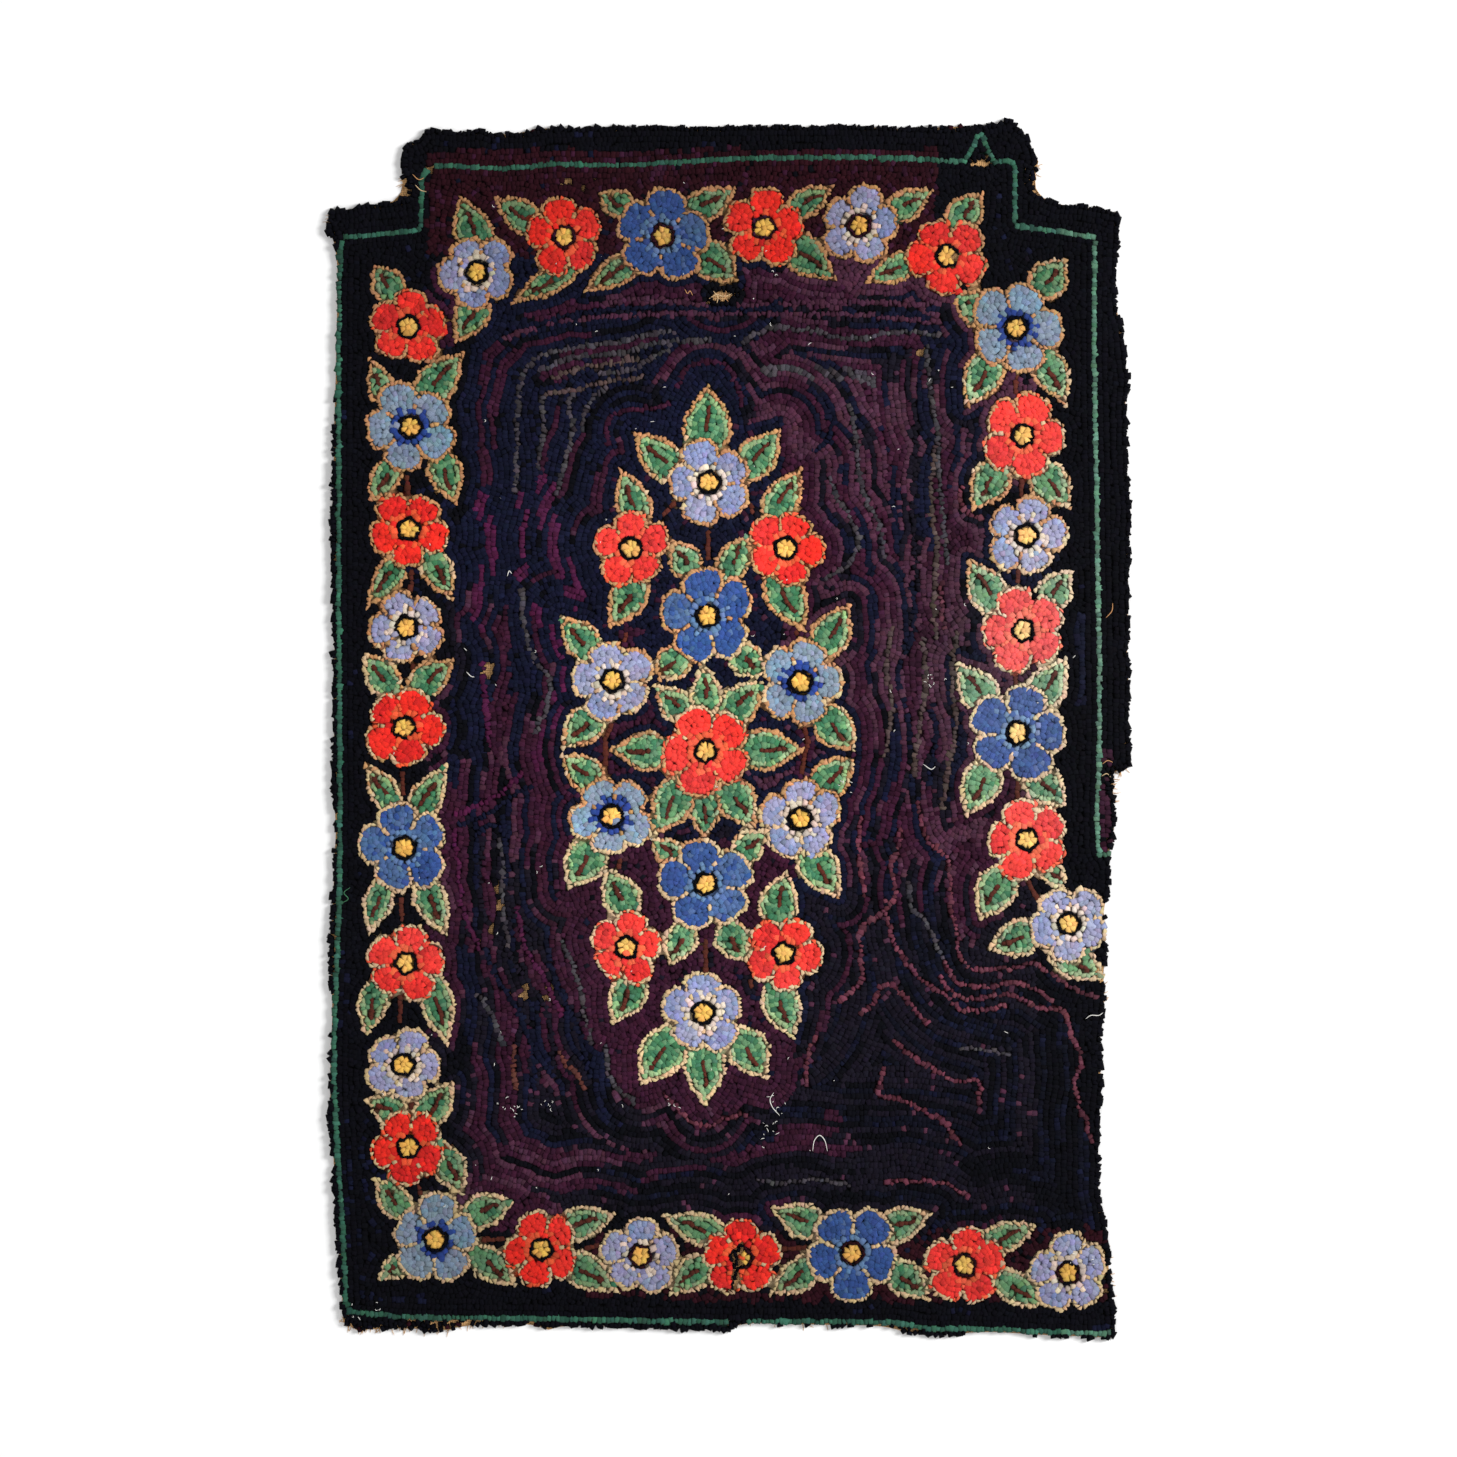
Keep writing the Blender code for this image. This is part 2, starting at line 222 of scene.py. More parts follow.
SRGB = {
    "black": (7, 7, 13), "ink": (11, 12, 23), "navy": (14, 16, 34), "charcoal": (18, 15, 25),
    "wine": (37, 11, 19), "plum": (46, 18, 35), "magenta": (63, 20, 49), "maroon": (63, 34, 50),
    "grey": (56, 52, 57), "taupe": (74, 60, 58), "rose": (85, 42, 54), "rust": (84, 47, 42),
    "red": (222, 42, 32), "scarlet": (202, 35, 32), "coral": (216, 82, 48), "blue": (47, 74, 130),
    "mid_blue": (68, 93, 136), "haze": (88, 116, 154), "pale_blue": (112, 136, 158),
    "slate": (116, 130, 148), "royal": (36, 58, 124), "lilac": (138, 138, 168),
    "periwinkle": (122, 130, 166), "cream": (198, 180, 165), "yellow": (220, 168, 80),
    "tan": (176, 128, 86), "bisque": (190, 162, 124), "green": (56, 104, 74),
    "mid_green": (88, 130, 92), "light_green": (130, 158, 112), "pale_green": (138, 160, 120),
    "sage": (72, 112, 92), "teal": (48, 92, 75), "brown": (78, 36, 27), "burlap": (188, 146, 98),
    "lint": (206, 204, 198),
}

KINDS = {
    "red": {"fill": "red", "other": "scarlet", "near": "coral", "ring": None},
    "blue": {"fill": "blue", "other": "mid_blue", "near": "blue", "ring": "haze"},
    "slate": {"fill": "slate", "other": "pale_blue", "near": "slate", "ring": "royal"},
    "lilac": {"fill": "lilac", "other": "periwinkle", "near": "lilac", "ring": "cream"},
}
SLOT_YARNS = {
    "wool_ground": "black ink navy charcoal wine plum magenta maroon grey taupe rose rust",
    "wool_red": "red scarlet coral",
    "wool_blue": "blue mid_blue haze pale_blue slate royal lilac periwinkle",
    "wool_green": "green mid_green light_green pale_green sage teal",
    "wool_tan": "cream tan bisque lint",
    "wool_yellow": "yellow",
    "wool_brown": "brown",
}
YARN_SLOTS = {yarn: slot for slot, yarns in SLOT_YARNS.items() for yarn in yarns.split()}

# How bright the wool is by place, and how far it has greyed
Fade = namedtuple("Fade", "across up reach strength greying")
FADES = [
    Fade(-25, 60, 230, 1.0, .03), Fade(-25, -260, 200, .98, .05), Fade(-300, 600, 130, .61, .0),
    Fade(0, 610, 130, .60, .0), Fade(300, 580, 110, .76, .04), Fade(-400, 350, 110, .78, .0),
    Fade(-400, 0, 120, .80, .0), Fade(-400, -350, 110, .76, .02), Fade(-350, -620, 120, .62, .02),
    Fade(-60, -640, 130, .66, .02), Fade(200, -640, 130, .67, .02), Fade(400, -640, 110, .74, .06),
    Fade(390, -250, 110, .94, .08), Fade(390, 60, 130, 1.04, .26), Fade(390, 350, 110, .96, .10),
]

# Wools whose loops differ in brightness, and how far down and up
FLECKS = (
    ("grey", 0.55, 1.5), ("taupe", 0.5, 1.1), ("rose", 0.5, 1.35), ("teal", 0.6, 1.4),
    ("sage", 0.6, 1.4), ("plum", 0.75, 1.3), ("navy", 0.8, 1.25),
)

# Ground colours by place: each anchor's shares of the wools, strongest near it
GROUND_WOOLS = ("navy", "black", "charcoal", "maroon", "plum")
Ground = namedtuple("Ground", "across up reach " + " ".join(GROUND_WOOLS))
GROUND_PLACES = [
    Ground(-60, 440, 70, .64, .10, .08, .05, .13), Ground(-60, 505, 45, .60, .08, .04, .10, .18),
    Ground(150, 500, 60, .10, .05, .00, .45, .40), Ground(150, 430, 80, .16, .02, .10, .36, .36),
    Ground(-240, 400, 80, .68, .10, .00, .00, .22), Ground(-200, 220, 80, .74, .06, .00, .00, .20),
    Ground(-250, 50, 80, .30, .08, .02, .12, .48), Ground(-230, -60, 60, .12, .04, .00, .14, .70),
    Ground(-240, -160, 60, .16, .10, .20, .06, .48), Ground(-230, -310, 80, .30, .05, .32, .03, .30),
    Ground(-230, -440, 60, .20, .14, .44, .04, .18), Ground(220, 300, 90, .10, .02, .12, .48, .28),
    Ground(200, 60, 90, .12, .02, .04, .44, .38), Ground(200, -80, 60, .24, .06, .08, .24, .38),
    Ground(200, -170, 60, .34, .14, .22, .06, .24), Ground(120, -220, 60, .34, .16, .34, .02, .14),
    Ground(120, -330, 80, .28, .18, .46, .00, .08), Ground(300, -400, 110, .26, .20, .54, .00, .00),
    Ground(-20, -400, 60, .06, .06, .06, .14, .68), Ground(0, -490, 60, .22, .24, .38, .04, .12),
    Ground(-200, -500, 60, .12, .30, .30, .14, .14), Ground(0, -600, 70, .10, .74, .06, .00, .10),
    Ground(360, -560, 90, .22, .60, .18, .00, .00), Ground(-420, 0, 80, .10, .86, .04, .00, .00),
    Ground(-420, 400, 80, .12, .84, .04, .00, .00), Ground(-420, -400, 80, .14, .80, .06, .00, .00),
    Ground(400, 200, 60, .10, .88, .02, .00, .00), Ground(400, 500, 70, .06, .94, .00, .00, .00),
    Ground(400, -60, 60, .08, .90, .02, .00, .00), Ground(0, 620, 50, .10, .50, .00, .20, .20),
]

# Stripes of one wool that run through the ground: wool, width and listed points
Stripe = namedtuple("Stripe", "wool width points")
WIDEST_ROW = 8.5
STRIPE_OVERLAP = 1.2
STRIPES = [
    Stripe("plum", 21, [(-279, 290), (-279, 380), (-270, 440)]),
    Stripe("navy", 7, [(-256, 462), (-150, 484), (-60, 487), (30, 485), (60, 498)]),
    Stripe("maroon", 7, [(-262, 450), (-200, 470), (-100, 479), (0, 480), (150, 478), (242, 470)]),
    Stripe("maroon", 7, [(-150, 490), (-100, 497), (-50, 492), (0, 489), (120, 494), (230, 490)]),
    Stripe("grey", 8, [(-247, 275), (-245, 350), (-240, 400), (-225, 428), (-180, 441),
                       (-130, 446), (-95, 456), (-62, 459)]),
    Stripe("grey", 8, [(-222, 414), (-180, 430), (-130, 435), (-90, 446), (-58, 449)]),
    Stripe("taupe", 8, [(-206, 405), (-170, 418), (-130, 424), (-104, 428)]),
    Stripe("grey", 7, [(-152, 411), (-112, 416), (-85, 431), (-58, 448), (-20, 450)]),
    Stripe("taupe", 6, [(-215, 388), (-180, 392), (-140, 402), (-98, 408)]),
    Stripe("grey", 7, [(-216, 386), (-215, 345), (-222, 300)]),
    Stripe("grey", 7, [(-168, 392), (-185, 380), (-181, 350), (-190, 310), (-200, 272)]),
    Stripe("grey", 7, [(-140, 396), (-162, 380), (-171, 345)]),
    Stripe("magenta", 22, [(-213, 285), (-210, 240), (-200, 205), (-182, 165), (-176, 150)]),
    Stripe("magenta", 16, [(-287, 268), (-275, 210), (-290, 150), (-294, 110)]),
    Stripe("magenta", 12, [(-240, 268), (-236, 230), (-241, 175)]),
    Stripe("plum", 7, [(-141, 330), (-140, 358), (-120, 369), (-92, 372), (-68, 375)]),
    Stripe("plum", 7, [(-62, 395), (-48, 418), (-25, 427), (-4, 420), (8, 398), (14, 372)]),
    Stripe("grey", 7, [(12, 446), (50, 465), (100, 459), (140, 451), (190, 459), (242, 455)]),
    Stripe("grey", 13, [(42, 413), (60, 419), (100, 412), (150, 408), (170, 399)]),
    Stripe("charcoal", 7, [(205, 440), (205, 400), (213, 360), (213, 300), (210, 250), (216, 160)]),
    Stripe("grey", 6, [(226, 445), (229, 400), (238, 350), (240, 300), (245, 250), (250, 190)]),
    Stripe("grey", 7, [(138, 378), (145, 340), (148, 300), (156, 268), (171, 238), (178, 198)]),
    Stripe("grey", 6, [(114, 292), (125, 265), (141, 240), (148, 214), (134, 190), (108, 174)]),
    Stripe("navy", 8, [(92, 395), (108, 375), (116, 345), (98, 320)]),
    Stripe("navy", 9, [(176, 400), (176, 350), (186, 300), (191, 250), (196, 160)]),
    Stripe("navy", 9, [(225, 390), (231, 330), (228, 290), (235, 200)]),
    Stripe("navy", 9, [(252, 470), (262, 400), (262, 330), (257, 280)]),
    Stripe("navy", 9, [(130, 305), (150, 245), (160, 195), (164, 120), (160, 55)]),
    Stripe("rose", 8, [(267, 284), (265, 265), (276, 250), (291, 244)]),
    Stripe("grey", 7, [(-240, 165), (-236, 120), (-226, 82), (-210, 62), (-208, 38), (-224, -4)]),
    Stripe("navy", 18, [(-312, 170), (-305, 120), (-311, 60), (-315, 0), (-314, -60)]),
    Stripe("navy", 9, [(-254, 160), (-250, 100), (-250, 45)]),
    Stripe("navy", 9, [(-222, 165), (-218, 120), (-204, 80)]),
    Stripe("magenta", 13, [(-224, 140), (-203, 104), (-196, 60), (-201, 20), (-216, -10),
                           (-224, -42)]),
    Stripe("magenta", 8, [(-285, 80), (-281, 30), (-275, -20)]),
    Stripe("charcoal", 10, [(-321, 160), (-322, 120), (-311, 90), (-308, 58)]),
    Stripe("navy", 7, [(-314, -108), (-280, -96), (-250, -76), (-228, -62)]),
    Stripe("magenta", 7, [(-318, -96), (-284, -84), (-255, -64), (-238, -46)]),
    Stripe("navy", 8, [(-294, -122), (-276, -108), (-260, -120), (-255, -168)]),
    Stripe("grey", 6, [(-268, -124), (-261, -142), (-262, -200), (-254, -250)]),
    Stripe("charcoal", 8, [(-286, -122), (-286, -200), (-271, -232)]),
    Stripe("magenta", 6, [(-318, -112), (-312, -160), (-306, -210), (-288, -252)]),
    Stripe("plum", 9, [(-300, -240), (-285, -270), (-252, -310), (-236, -360), (-240, -405)]),
    Stripe("navy", 8, [(-282, -250), (-266, -288), (-242, -325), (-226, -375), (-226, -415)]),
    Stripe("grey", 7, [(-292, -300), (-272, -330), (-262, -362)]),
    Stripe("charcoal", 7, [(-262, -240), (-246, -270), (-217, -310), (-206, -345), (-200, -400)]),
    Stripe("magenta", 7, [(-245, -200), (-236, -248), (-216, -281), (-192, -328)]),
    Stripe("navy", 8, [(-211, -240), (-201, -290), (-176, -340), (-160, -400)]),
    Stripe("grey", 6, [(-195, -240), (-177, -280), (-167, -328), (-160, -362)]),
    Stripe("grey", 6, [(-143, -360), (-140, -392), (-130, -411), (-108, -430)]),
    Stripe("rust", 7, [(-247, -360), (-249, -388), (-247, -415)]),
    Stripe("rust", 6, [(-198, -368), (-186, -385), (-176, -395), (-166, -412)]),
    Stripe("plum", 13, [(-272, -480), (-200, -488), (-150, -493), (-92, -488)]),
    Stripe("plum", 11, [(-276, -510), (-232, -510), (-200, -525), (-150, -519), (-110, -526),
                          (-80, -506), (-20, -496), (30, -481), (80, -466), (122, -450)]),
    Stripe("plum", 16, [(112, -462), (122, -452), (116, -440)]),
    Stripe("rose", 5, [(-76, -418), (-62, -432), (-45, -449), (-24, -453), (0, -444), (20, -441)]),
    Stripe("taupe", 7, [(236, 330), (231, 262), (239, 205), (234, 150), (238, 104)]),
    Stripe("taupe", 7, [(222, 108), (226, 60), (217, 0), (212, -52)]),
    Stripe("taupe", 7, [(262, 116), (255, 62), (260, 8), (250, -48), (245, -92)]),
    Stripe("taupe", 6, [(186, 120), (180, 72), (186, 28), (178, -30)]),
    Stripe("charcoal", 9, [(96, 160), (116, 164), (136, 152), (146, 130), (148, 95)]),
    Stripe("navy", 13, [(195, 32), (193, 0), (189, -40), (174, -72)]),
    Stripe("navy", 8, [(232, 32), (236, -10), (228, -62)]),
    Stripe("navy", 8, [(210, 172), (212, 120), (201, 88)]),
    Stripe("rose", 6, [(243, 172), (243, 140), (247, 116)]),
    Stripe("rose", 6, [(216, -80), (221, -106), (227, -126), (246, -141), (253, -165), (255, -205),
                       (262, -236), (262, -255), (271, -268), (290, -275), (330, -272),
                       (350, -268), (376, -285), (400, -299), (428, -308)]),
    Stripe("rose", 6, [(151, -98), (147, -130), (152, -170), (155, -192)]),
    Stripe("rose", 7, [(196, -112), (193, -134), (184, -156), (190, -190), (172, -212), (150, -230),
                       (152, -270), (148, -291), (124, -312)]),
    Stripe("rose", 6, [(178, -192), (183, -222), (192, -250), (214, -280), (244, -302),
                       (266, -319), (295, -321), (318, -314)]),
    Stripe("grey", 6, [(206, -172), (208, -200), (223, -216), (236, -242), (246, -262)]),
    Stripe("rose", 6, [(248, -264), (256, -285), (276, -293), (300, -294), (330, -289), (352, -298),
                       (371, -312)]),
    Stripe("rose", 6, [(240, -281), (255, -300), (272, -308), (300, -305), (330, -305), (351, -318),
                       (384, -322), (390, -345), (404, -378), (397, -402), (401, -428),
                       (410, -452), (416, -474)]),
    Stripe("rose", 6, [(186, -356), (206, -371), (236, -390), (260, -402), (286, -402), (287, -430)]),
    Stripe("rose", 6, [(176, -386), (172, -418), (196, -423), (221, -436), (246, -449), (256, -465),
                       (266, -476)]),
    Stripe("rose", 7, [(150, -328), (166, -310), (180, -290), (202, -306), (216, -325), (230, -336)]),
    Stripe("rose", 6, [(98, -350), (90, -371), (88, -410)]),
    Stripe("rose", 5, [(178, -518), (220, -518), (250, -522), (276, -536)]),
    Stripe("grey", 6, [(414, -326), (409, -346), (418, -371)]),
    Stripe("grey", 5, [(264, -365), (300, -368), (322, -373)]),
    Stripe("grey", 5, [(30, -516), (60, -520), (96, -516), (140, -522)]),
]

# Patches of the ground where one wool stands for another, over a share of the loops
Patch = namedtuple("Patch", "left right low high old new share")
PATCHES = [
    Patch(-347, 238, 548, 669, "black ink navy charcoal plum maroon magenta", "wine", .97),
    Patch(-347, 238, 548, 669, "wine", "plum", .16),
    Patch(238, 440, 470, 700, "navy", "black", .9),
    Patch(-347, 238, 669, 700, "navy plum maroon", "black", .9),
    Patch(-160, 440, -650, -572, "black navy ink", "wine", .75),
    Patch(-80, 440, -656, -645, "black navy ink", "wine", .85),
    Patch(426, 442, -140, -24, "black", "plum", .85),
    Patch(90, 450, -560, -200, "navy", "ink", .72),
    Patch(-460, -330, -690, 610, "navy", "black", .7),
    Patch(-140, 300, -560, -440, "navy", "ink", .5),
    Patch(-60, 330, -690, -640, "navy", "black", .8),
]

# Rows that keep one wool over a stretch: what they echo, their numbers, and where
Echo = namedtuple("Echo", "group wool first last left right low high")
ECHOES = [
    Echo("centre", "navy", 1, 2, -260, 60, 40, 460),
    Echo("centre", "navy", 1, 1, -230, 200, -120, 40),
    Echo("centre", "plum", 1, 4, -200, 75, -470, -125),
    Echo("centre", "plum", 1, 2, 60, 200, 180, 330),
]


def clipped(value, low=0.0, high=1.0):
    return np.clip(value, low, high)


def to_frame(pairs):
    """Table points as an array in the row frame."""
    return np.array(pairs, float).reshape(-1, 2) - TABLE_MIDDLE


def linear(name):
    """A named yarn's colour as linear values."""
    part = np.array(SRGB[name]) / 255
    return np.where(part <= 0.04045, part / 12.92, ((part + 0.055) / 1.055) ** 2.4)


def drift(points, size, seed=0.0):
    """Smooth noise at each point, from -1 to 1, that varies over a given size."""
    return np.array([noise.noise((x / size, y / size, seed)) for x, y in points])


def even_steps(points, step, closed=False):
    """Points at even steps along a line, and the direction at each."""
    if closed:
        points = np.vstack([points, points[:1]])
    lengths = np.hypot(*np.diff(points, axis=0).T)
    travelled = np.concatenate([[0], np.cumsum(lengths)])
    total = travelled[-1]
    count = max(1, round(total / step))
    places = (np.arange(count) + 0.5) * total / count
    found = np.column_stack([np.interp(places, travelled, points[:, i]) for i in (0, 1)])
    ahead = np.column_stack(
        [np.interp(np.minimum(places + 2.5, total), travelled, points[:, i]) for i in (0, 1)]
    )
    behind = np.column_stack(
        [np.interp(np.maximum(places - 2.5, 0), travelled, points[:, i]) for i in (0, 1)]
    )
    way = ahead - behind
    return found, np.arctan2(way[:, 1], way[:, 0])


def smooth_line(pairs, per_span=14):
    """A smooth line through given points."""
    points = to_frame(pairs)
    before = np.vstack([2 * points[0] - points[1], points, 2 * points[-1] - points[-2]])
    found = []
    for a, b, c, d in zip(before, before[1:], before[2:], before[3:]):
        for t in np.linspace(0, 1, per_span, endpoint=False):
            found.append(
                0.5 * (2 * b + (c - a) * t + (2 * a - 5 * b + 4 * c - d) * t**2
                       + (3 * b - a - 3 * c + d) * t**3)
            )
    return np.array([*found, points[-1]])


# The rug's edge, as the CAD solids have it

def lower_rims(node):
    """The loops round the flat lower face of a CAD sheet, the longest first."""
    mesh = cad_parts[node].data
    keys = [tuple(np.round(np.array(v.co[:2]) / MM, 3)) for v in mesh.vertices]
    sides = set()
    for face in mesh.polygons:
        if face.normal.z < -0.9:
            corners = [keys[i] for i in face.vertices]
            sides |= set(zip(corners, corners[1:] + corners[:1]))
    onward = {a: b for a, b in sides if (b, a) not in sides}
    rims = []
    while onward:
        start, at = onward.popitem()
        rim = [start]
        while at != start:
            rim.append(at)
            at = onward.pop(at)
        rims.append(np.array(rim))
    return sorted(rims, key=len, reverse=True)


# A grid of one-millimetre cells over the rug, on which distances are worked out

PILE_RIMS = lower_rims("pile")
BURLAP_RIM = lower_rims("foundation")[0]
LOW = np.floor(BURLAP_RIM.min(axis=0)) - 6
COLUMNS, LINES = (np.ceil(BURLAP_RIM.max(axis=0)) + 6 - LOW).astype(int)
GRID_X, GRID_Y = np.meshgrid(LOW[0] + np.arange(COLUMNS), LOW[1] + np.arange(LINES))


def inside_mask(rims):
    """The cells within the first rim and outside the others."""
    crossings = np.zeros((LINES, COLUMNS + 1), np.int32)
    for rim in rims:
        for (ax, ay), (bx, by) in zip(rim, np.roll(rim, -1, axis=0)):
            low, high = sorted((ay, by))
            rows = np.arange(math.ceil(low - LOW[1]), math.ceil(high - LOW[1]))
            if len(rows):
                x = ax + (rows + LOW[1] - ay) * (bx - ax) / (by - ay)
                columns = clipped(np.ceil(x - LOW[0]), 0, COLUMNS).astype(int)
                np.add.at(crossings, (rows, columns), 1)
    return np.cumsum(crossings, axis=1)[:, :-1] % 2 == 1


def nearest_sample(samples):
    """For each cell, the distance to the nearest sample point and that point's index."""
    found = np.full((LINES, COLUMNS), -1, np.int32)
    cells = clipped(np.round(samples - LOW), 0, np.array([COLUMNS, LINES]) - 1).astype(int)
    found[cells[:, 1], cells[:, 0]] = np.arange(len(samples))
    spread = np.vstack([samples, [[1e6, 1e6]]])
    gap = (spread[found, 0] - GRID_X) ** 2 + (spread[found, 1] - GRID_Y) ** 2
    jump = 256
    while jump:
        for dx in (-jump, 0, jump):
            for dy in (-jump, 0, jump):
                if dx or dy:
                    to = (slice(max(0, dy), LINES + min(0, dy)),
                          slice(max(0, dx), COLUMNS + min(0, dx)))
                    source = (slice(max(0, -dy), LINES + min(0, -dy)),
                              slice(max(0, -dx), COLUMNS + min(0, -dx)))
                    other = found[source].copy()
                    new = (spread[other, 0] - GRID_X[to]) ** 2
                    new += (spread[other, 1] - GRID_Y[to]) ** 2
                    better = new < gap[to]
                    gap[to] = np.where(better, new, gap[to])
                    found[to] = np.where(better, other, found[to])
        jump //= 2
    return np.sqrt(gap), found


def at_points(grid, points):
    """A grid's values at points, from the nearest cells."""
    cells = clipped(np.round(points - LOW), 0, np.array([COLUMNS, LINES]) - 1).astype(int)
    return grid[cells[:, 1], cells[:, 0]]


def level_lines(mask, levels):
    """Lines along which a field is 1, 2, 3 and on: a list of (level, points, closed)."""
    step = np.floor(levels).astype(np.int32)
    corners = [step[:-1, :-1], step[:-1, 1:], step[1:, 1:], step[1:, :-1]]
    top = np.maximum.reduce(corners)
    crossed = np.minimum.reduce(corners) < top
    crossed &= mask[:-1, :-1] & mask[1:, 1:] & mask[:-1, 1:] & mask[1:, :-1] & (top > 0)
    rows, columns = np.nonzero(crossed)
    level = top[rows, columns]
    over = [c[rows, columns] == level for c in corners]
    places = [(0, 0), (0, 1), (1, 1), (1, 0)]
    cell_sides = []
    for side in range(4):
        (ra, ca), (rb, cb) = places[side], places[(side + 1) % 4]
        cut = over[side] != over[(side + 1) % 4]
        a = levels[rows + ra, columns + ca]
        b = levels[rows + rb, columns + cb]
        share = clipped((level - a) / np.where(a == b, 1, b - a))
        x = LOW[0] + columns + ca + (cb - ca) * share
        y = LOW[1] + rows + ra + (rb - ra) * share
        upright = ca == cb
        key = ((rows + min(ra, rb)) * COLUMNS + columns + min(ca, cb)) * 2 + upright
        cell_sides.append((cut, x, y, key))
    joined = {}
    place = {}
    cuts = np.array([s[0] for s in cell_sides])
    for index in np.nonzero(cuts.sum(axis=0) == 2)[0]:
        first, second = np.nonzero(cuts[:, index])[0]
        keys = []
        for side in (first, second):
            _, x, y, key = cell_sides[side]
            keys.append((key[index], level[index]))
            place[keys[-1]] = (x[index], y[index])
        joined.setdefault(keys[0], []).append(keys[1])
        joined.setdefault(keys[1], []).append(keys[0])
    return chained(joined, place)


def chained(joined, place):
    """Chains of linked points: a list of (level, points, closed)."""
    lines = []
    left = set(joined)
    for open_first in (True, False):
        for start in list(joined):
            if start not in left or (open_first and len(joined[start]) != 1):
                continue
            chain = [start]
            left.discard(start)
            at = start
            while True:
                ahead = [k for k in joined[at] if k in left]
                if not ahead:
                    break
                at = ahead[0]
                left.discard(at)
                chain.append(at)
            if len(chain) > 2:
                closed = not open_first and start in joined[at]
                lines.append((start[1], np.array([place[k] for k in chain]), closed))
    return lines


def softened(points, closed, passes=3):
    """A line with the small steps of the grid smoothed out."""
    for _ in range(passes):
        if closed:
            points = (np.roll(points, 1, 0) + 2 * points + np.roll(points, -1, 0)) / 4
        elif len(points) > 2:
            inner = (points[:-2] + 2 * points[1:-1] + points[2:]) / 4
            points = np.vstack([points[:1], inner, points[-1:]])
    return points


# Flowers and leaves

NOTCH_DEPTH = 0.31
NOTCH_SHARPNESS = 4.4
OUTLINE_INSET = 2.2
OUTLINE_STITCH = 4.7
OUTLINE_WIDTH = 5.1
OUTLINE_LENGTH = 6.1
TOOTH = 0.8
HEART_RING = 6.1
BLACK_RING = 12.0
SPIKES = 15
SPIKE_FROM = 15.8
SPIKE_TO = (18.5, 28)
DIVIDER_START = 0.42
LEAF_TUCK = 1.42
LEAF_SPREAD = 1.2
LEAF_SKEW = 1.08
LEAF_POINT = 3.5
LEAF_RING = 5.0
PETAL_SCALE = 1.02
LEAF_SCALE = 0.96


def flower_rim(flower, angle):
    """How far a flower's silhouette reaches in the direction of an angle, in radians."""
    local = (angle - math.radians(flower.turn)) / math.radians(72)
    offset = np.abs(local - np.round(local)) * 2
    phase = flower.across * 0.37 + flower.up * 0.11
    uneven = 1 + 0.035 * np.sin(2 * angle + phase) + 0.03 * np.sin(3 * angle + 2.3 * phase)
    return flower.reach * (1 - NOTCH_DEPTH * offset**NOTCH_SHARPNESS) * uneven


def flower_middle(flower):
    return to_frame([(flower.across, flower.up)])[0]


def in_flower(flower, points, inset=0.0):
    """Which points lie within a flower's silhouette."""
    away = points - flower_middle(flower)
    angle = np.arctan2(away[:, 1], away[:, 0])
    return np.hypot(away[:, 0], away[:, 1]) < flower_rim(flower, angle) - inset


def leaf_axes(leaf):
    """A leaf's tip, unit direction to its base, full length and half-width."""
    tip, base = to_frame([leaf[:2], leaf[2:4]])
    reach = np.linalg.norm(base - tip)
    along = (base - tip) / reach
    return tip - along * LEAF_POINT, along, reach * LEAF_TUCK + LEAF_POINT


def leaf_half_width(leaf, share):
    """Half-width at a share of the length: a pointed tip, and widest just past the middle."""
    return leaf.half_width * LEAF_SPREAD * np.sin(np.pi * clipped(share) ** LEAF_SKEW)


def leaf_outline(leaf, inset):
    tip, along, length = leaf_axes(leaf)
    across = np.array([-along[1], along[0]])
    share = np.linspace(0.012, 0.97, 60)
    half = np.maximum(leaf_half_width(leaf, share) - inset, 0.2)
    spine = tip + along * (inset * 0.8) + np.outer(share * (length - inset), along)
    sides = [spine + half[:, None] * across, spine - half[:, None] * across]
    return np.vstack([sides[0][::-1], sides[1]])


def in_leaf(leaf, points, inset=0.0):
    tip, along, length = leaf_axes(leaf)
    away = points - tip
    forward = away @ along
    sideways = np.abs(away @ np.array([-along[1], along[0]]))
    share = forward / length
    return (share > 0) & (share < 1) & (sideways < leaf_half_width(leaf, share) - inset)


FLOWERS = [*CENTRE_FLOWERS, *BORDER_FLOWERS]
LEAVES = [*CENTRE_LEAVES, *BORDER_LEAVES]

Guide = namedtuple("Guide", "points closed group yarn stitch length width ragged taper")
GROUPS = ("centre", "border", "edge", "line")


def open_runs(points, keep):
    """The unbroken stretches of a line that are kept."""
    runs, run = [], []
    for point, kept in zip(points, keep):
        if kept:
            run.append(point)
        elif run:
            runs.append(run)
            run = []
    runs.append(run)
    return [np.array(r) for r in runs if len(r) > 3]


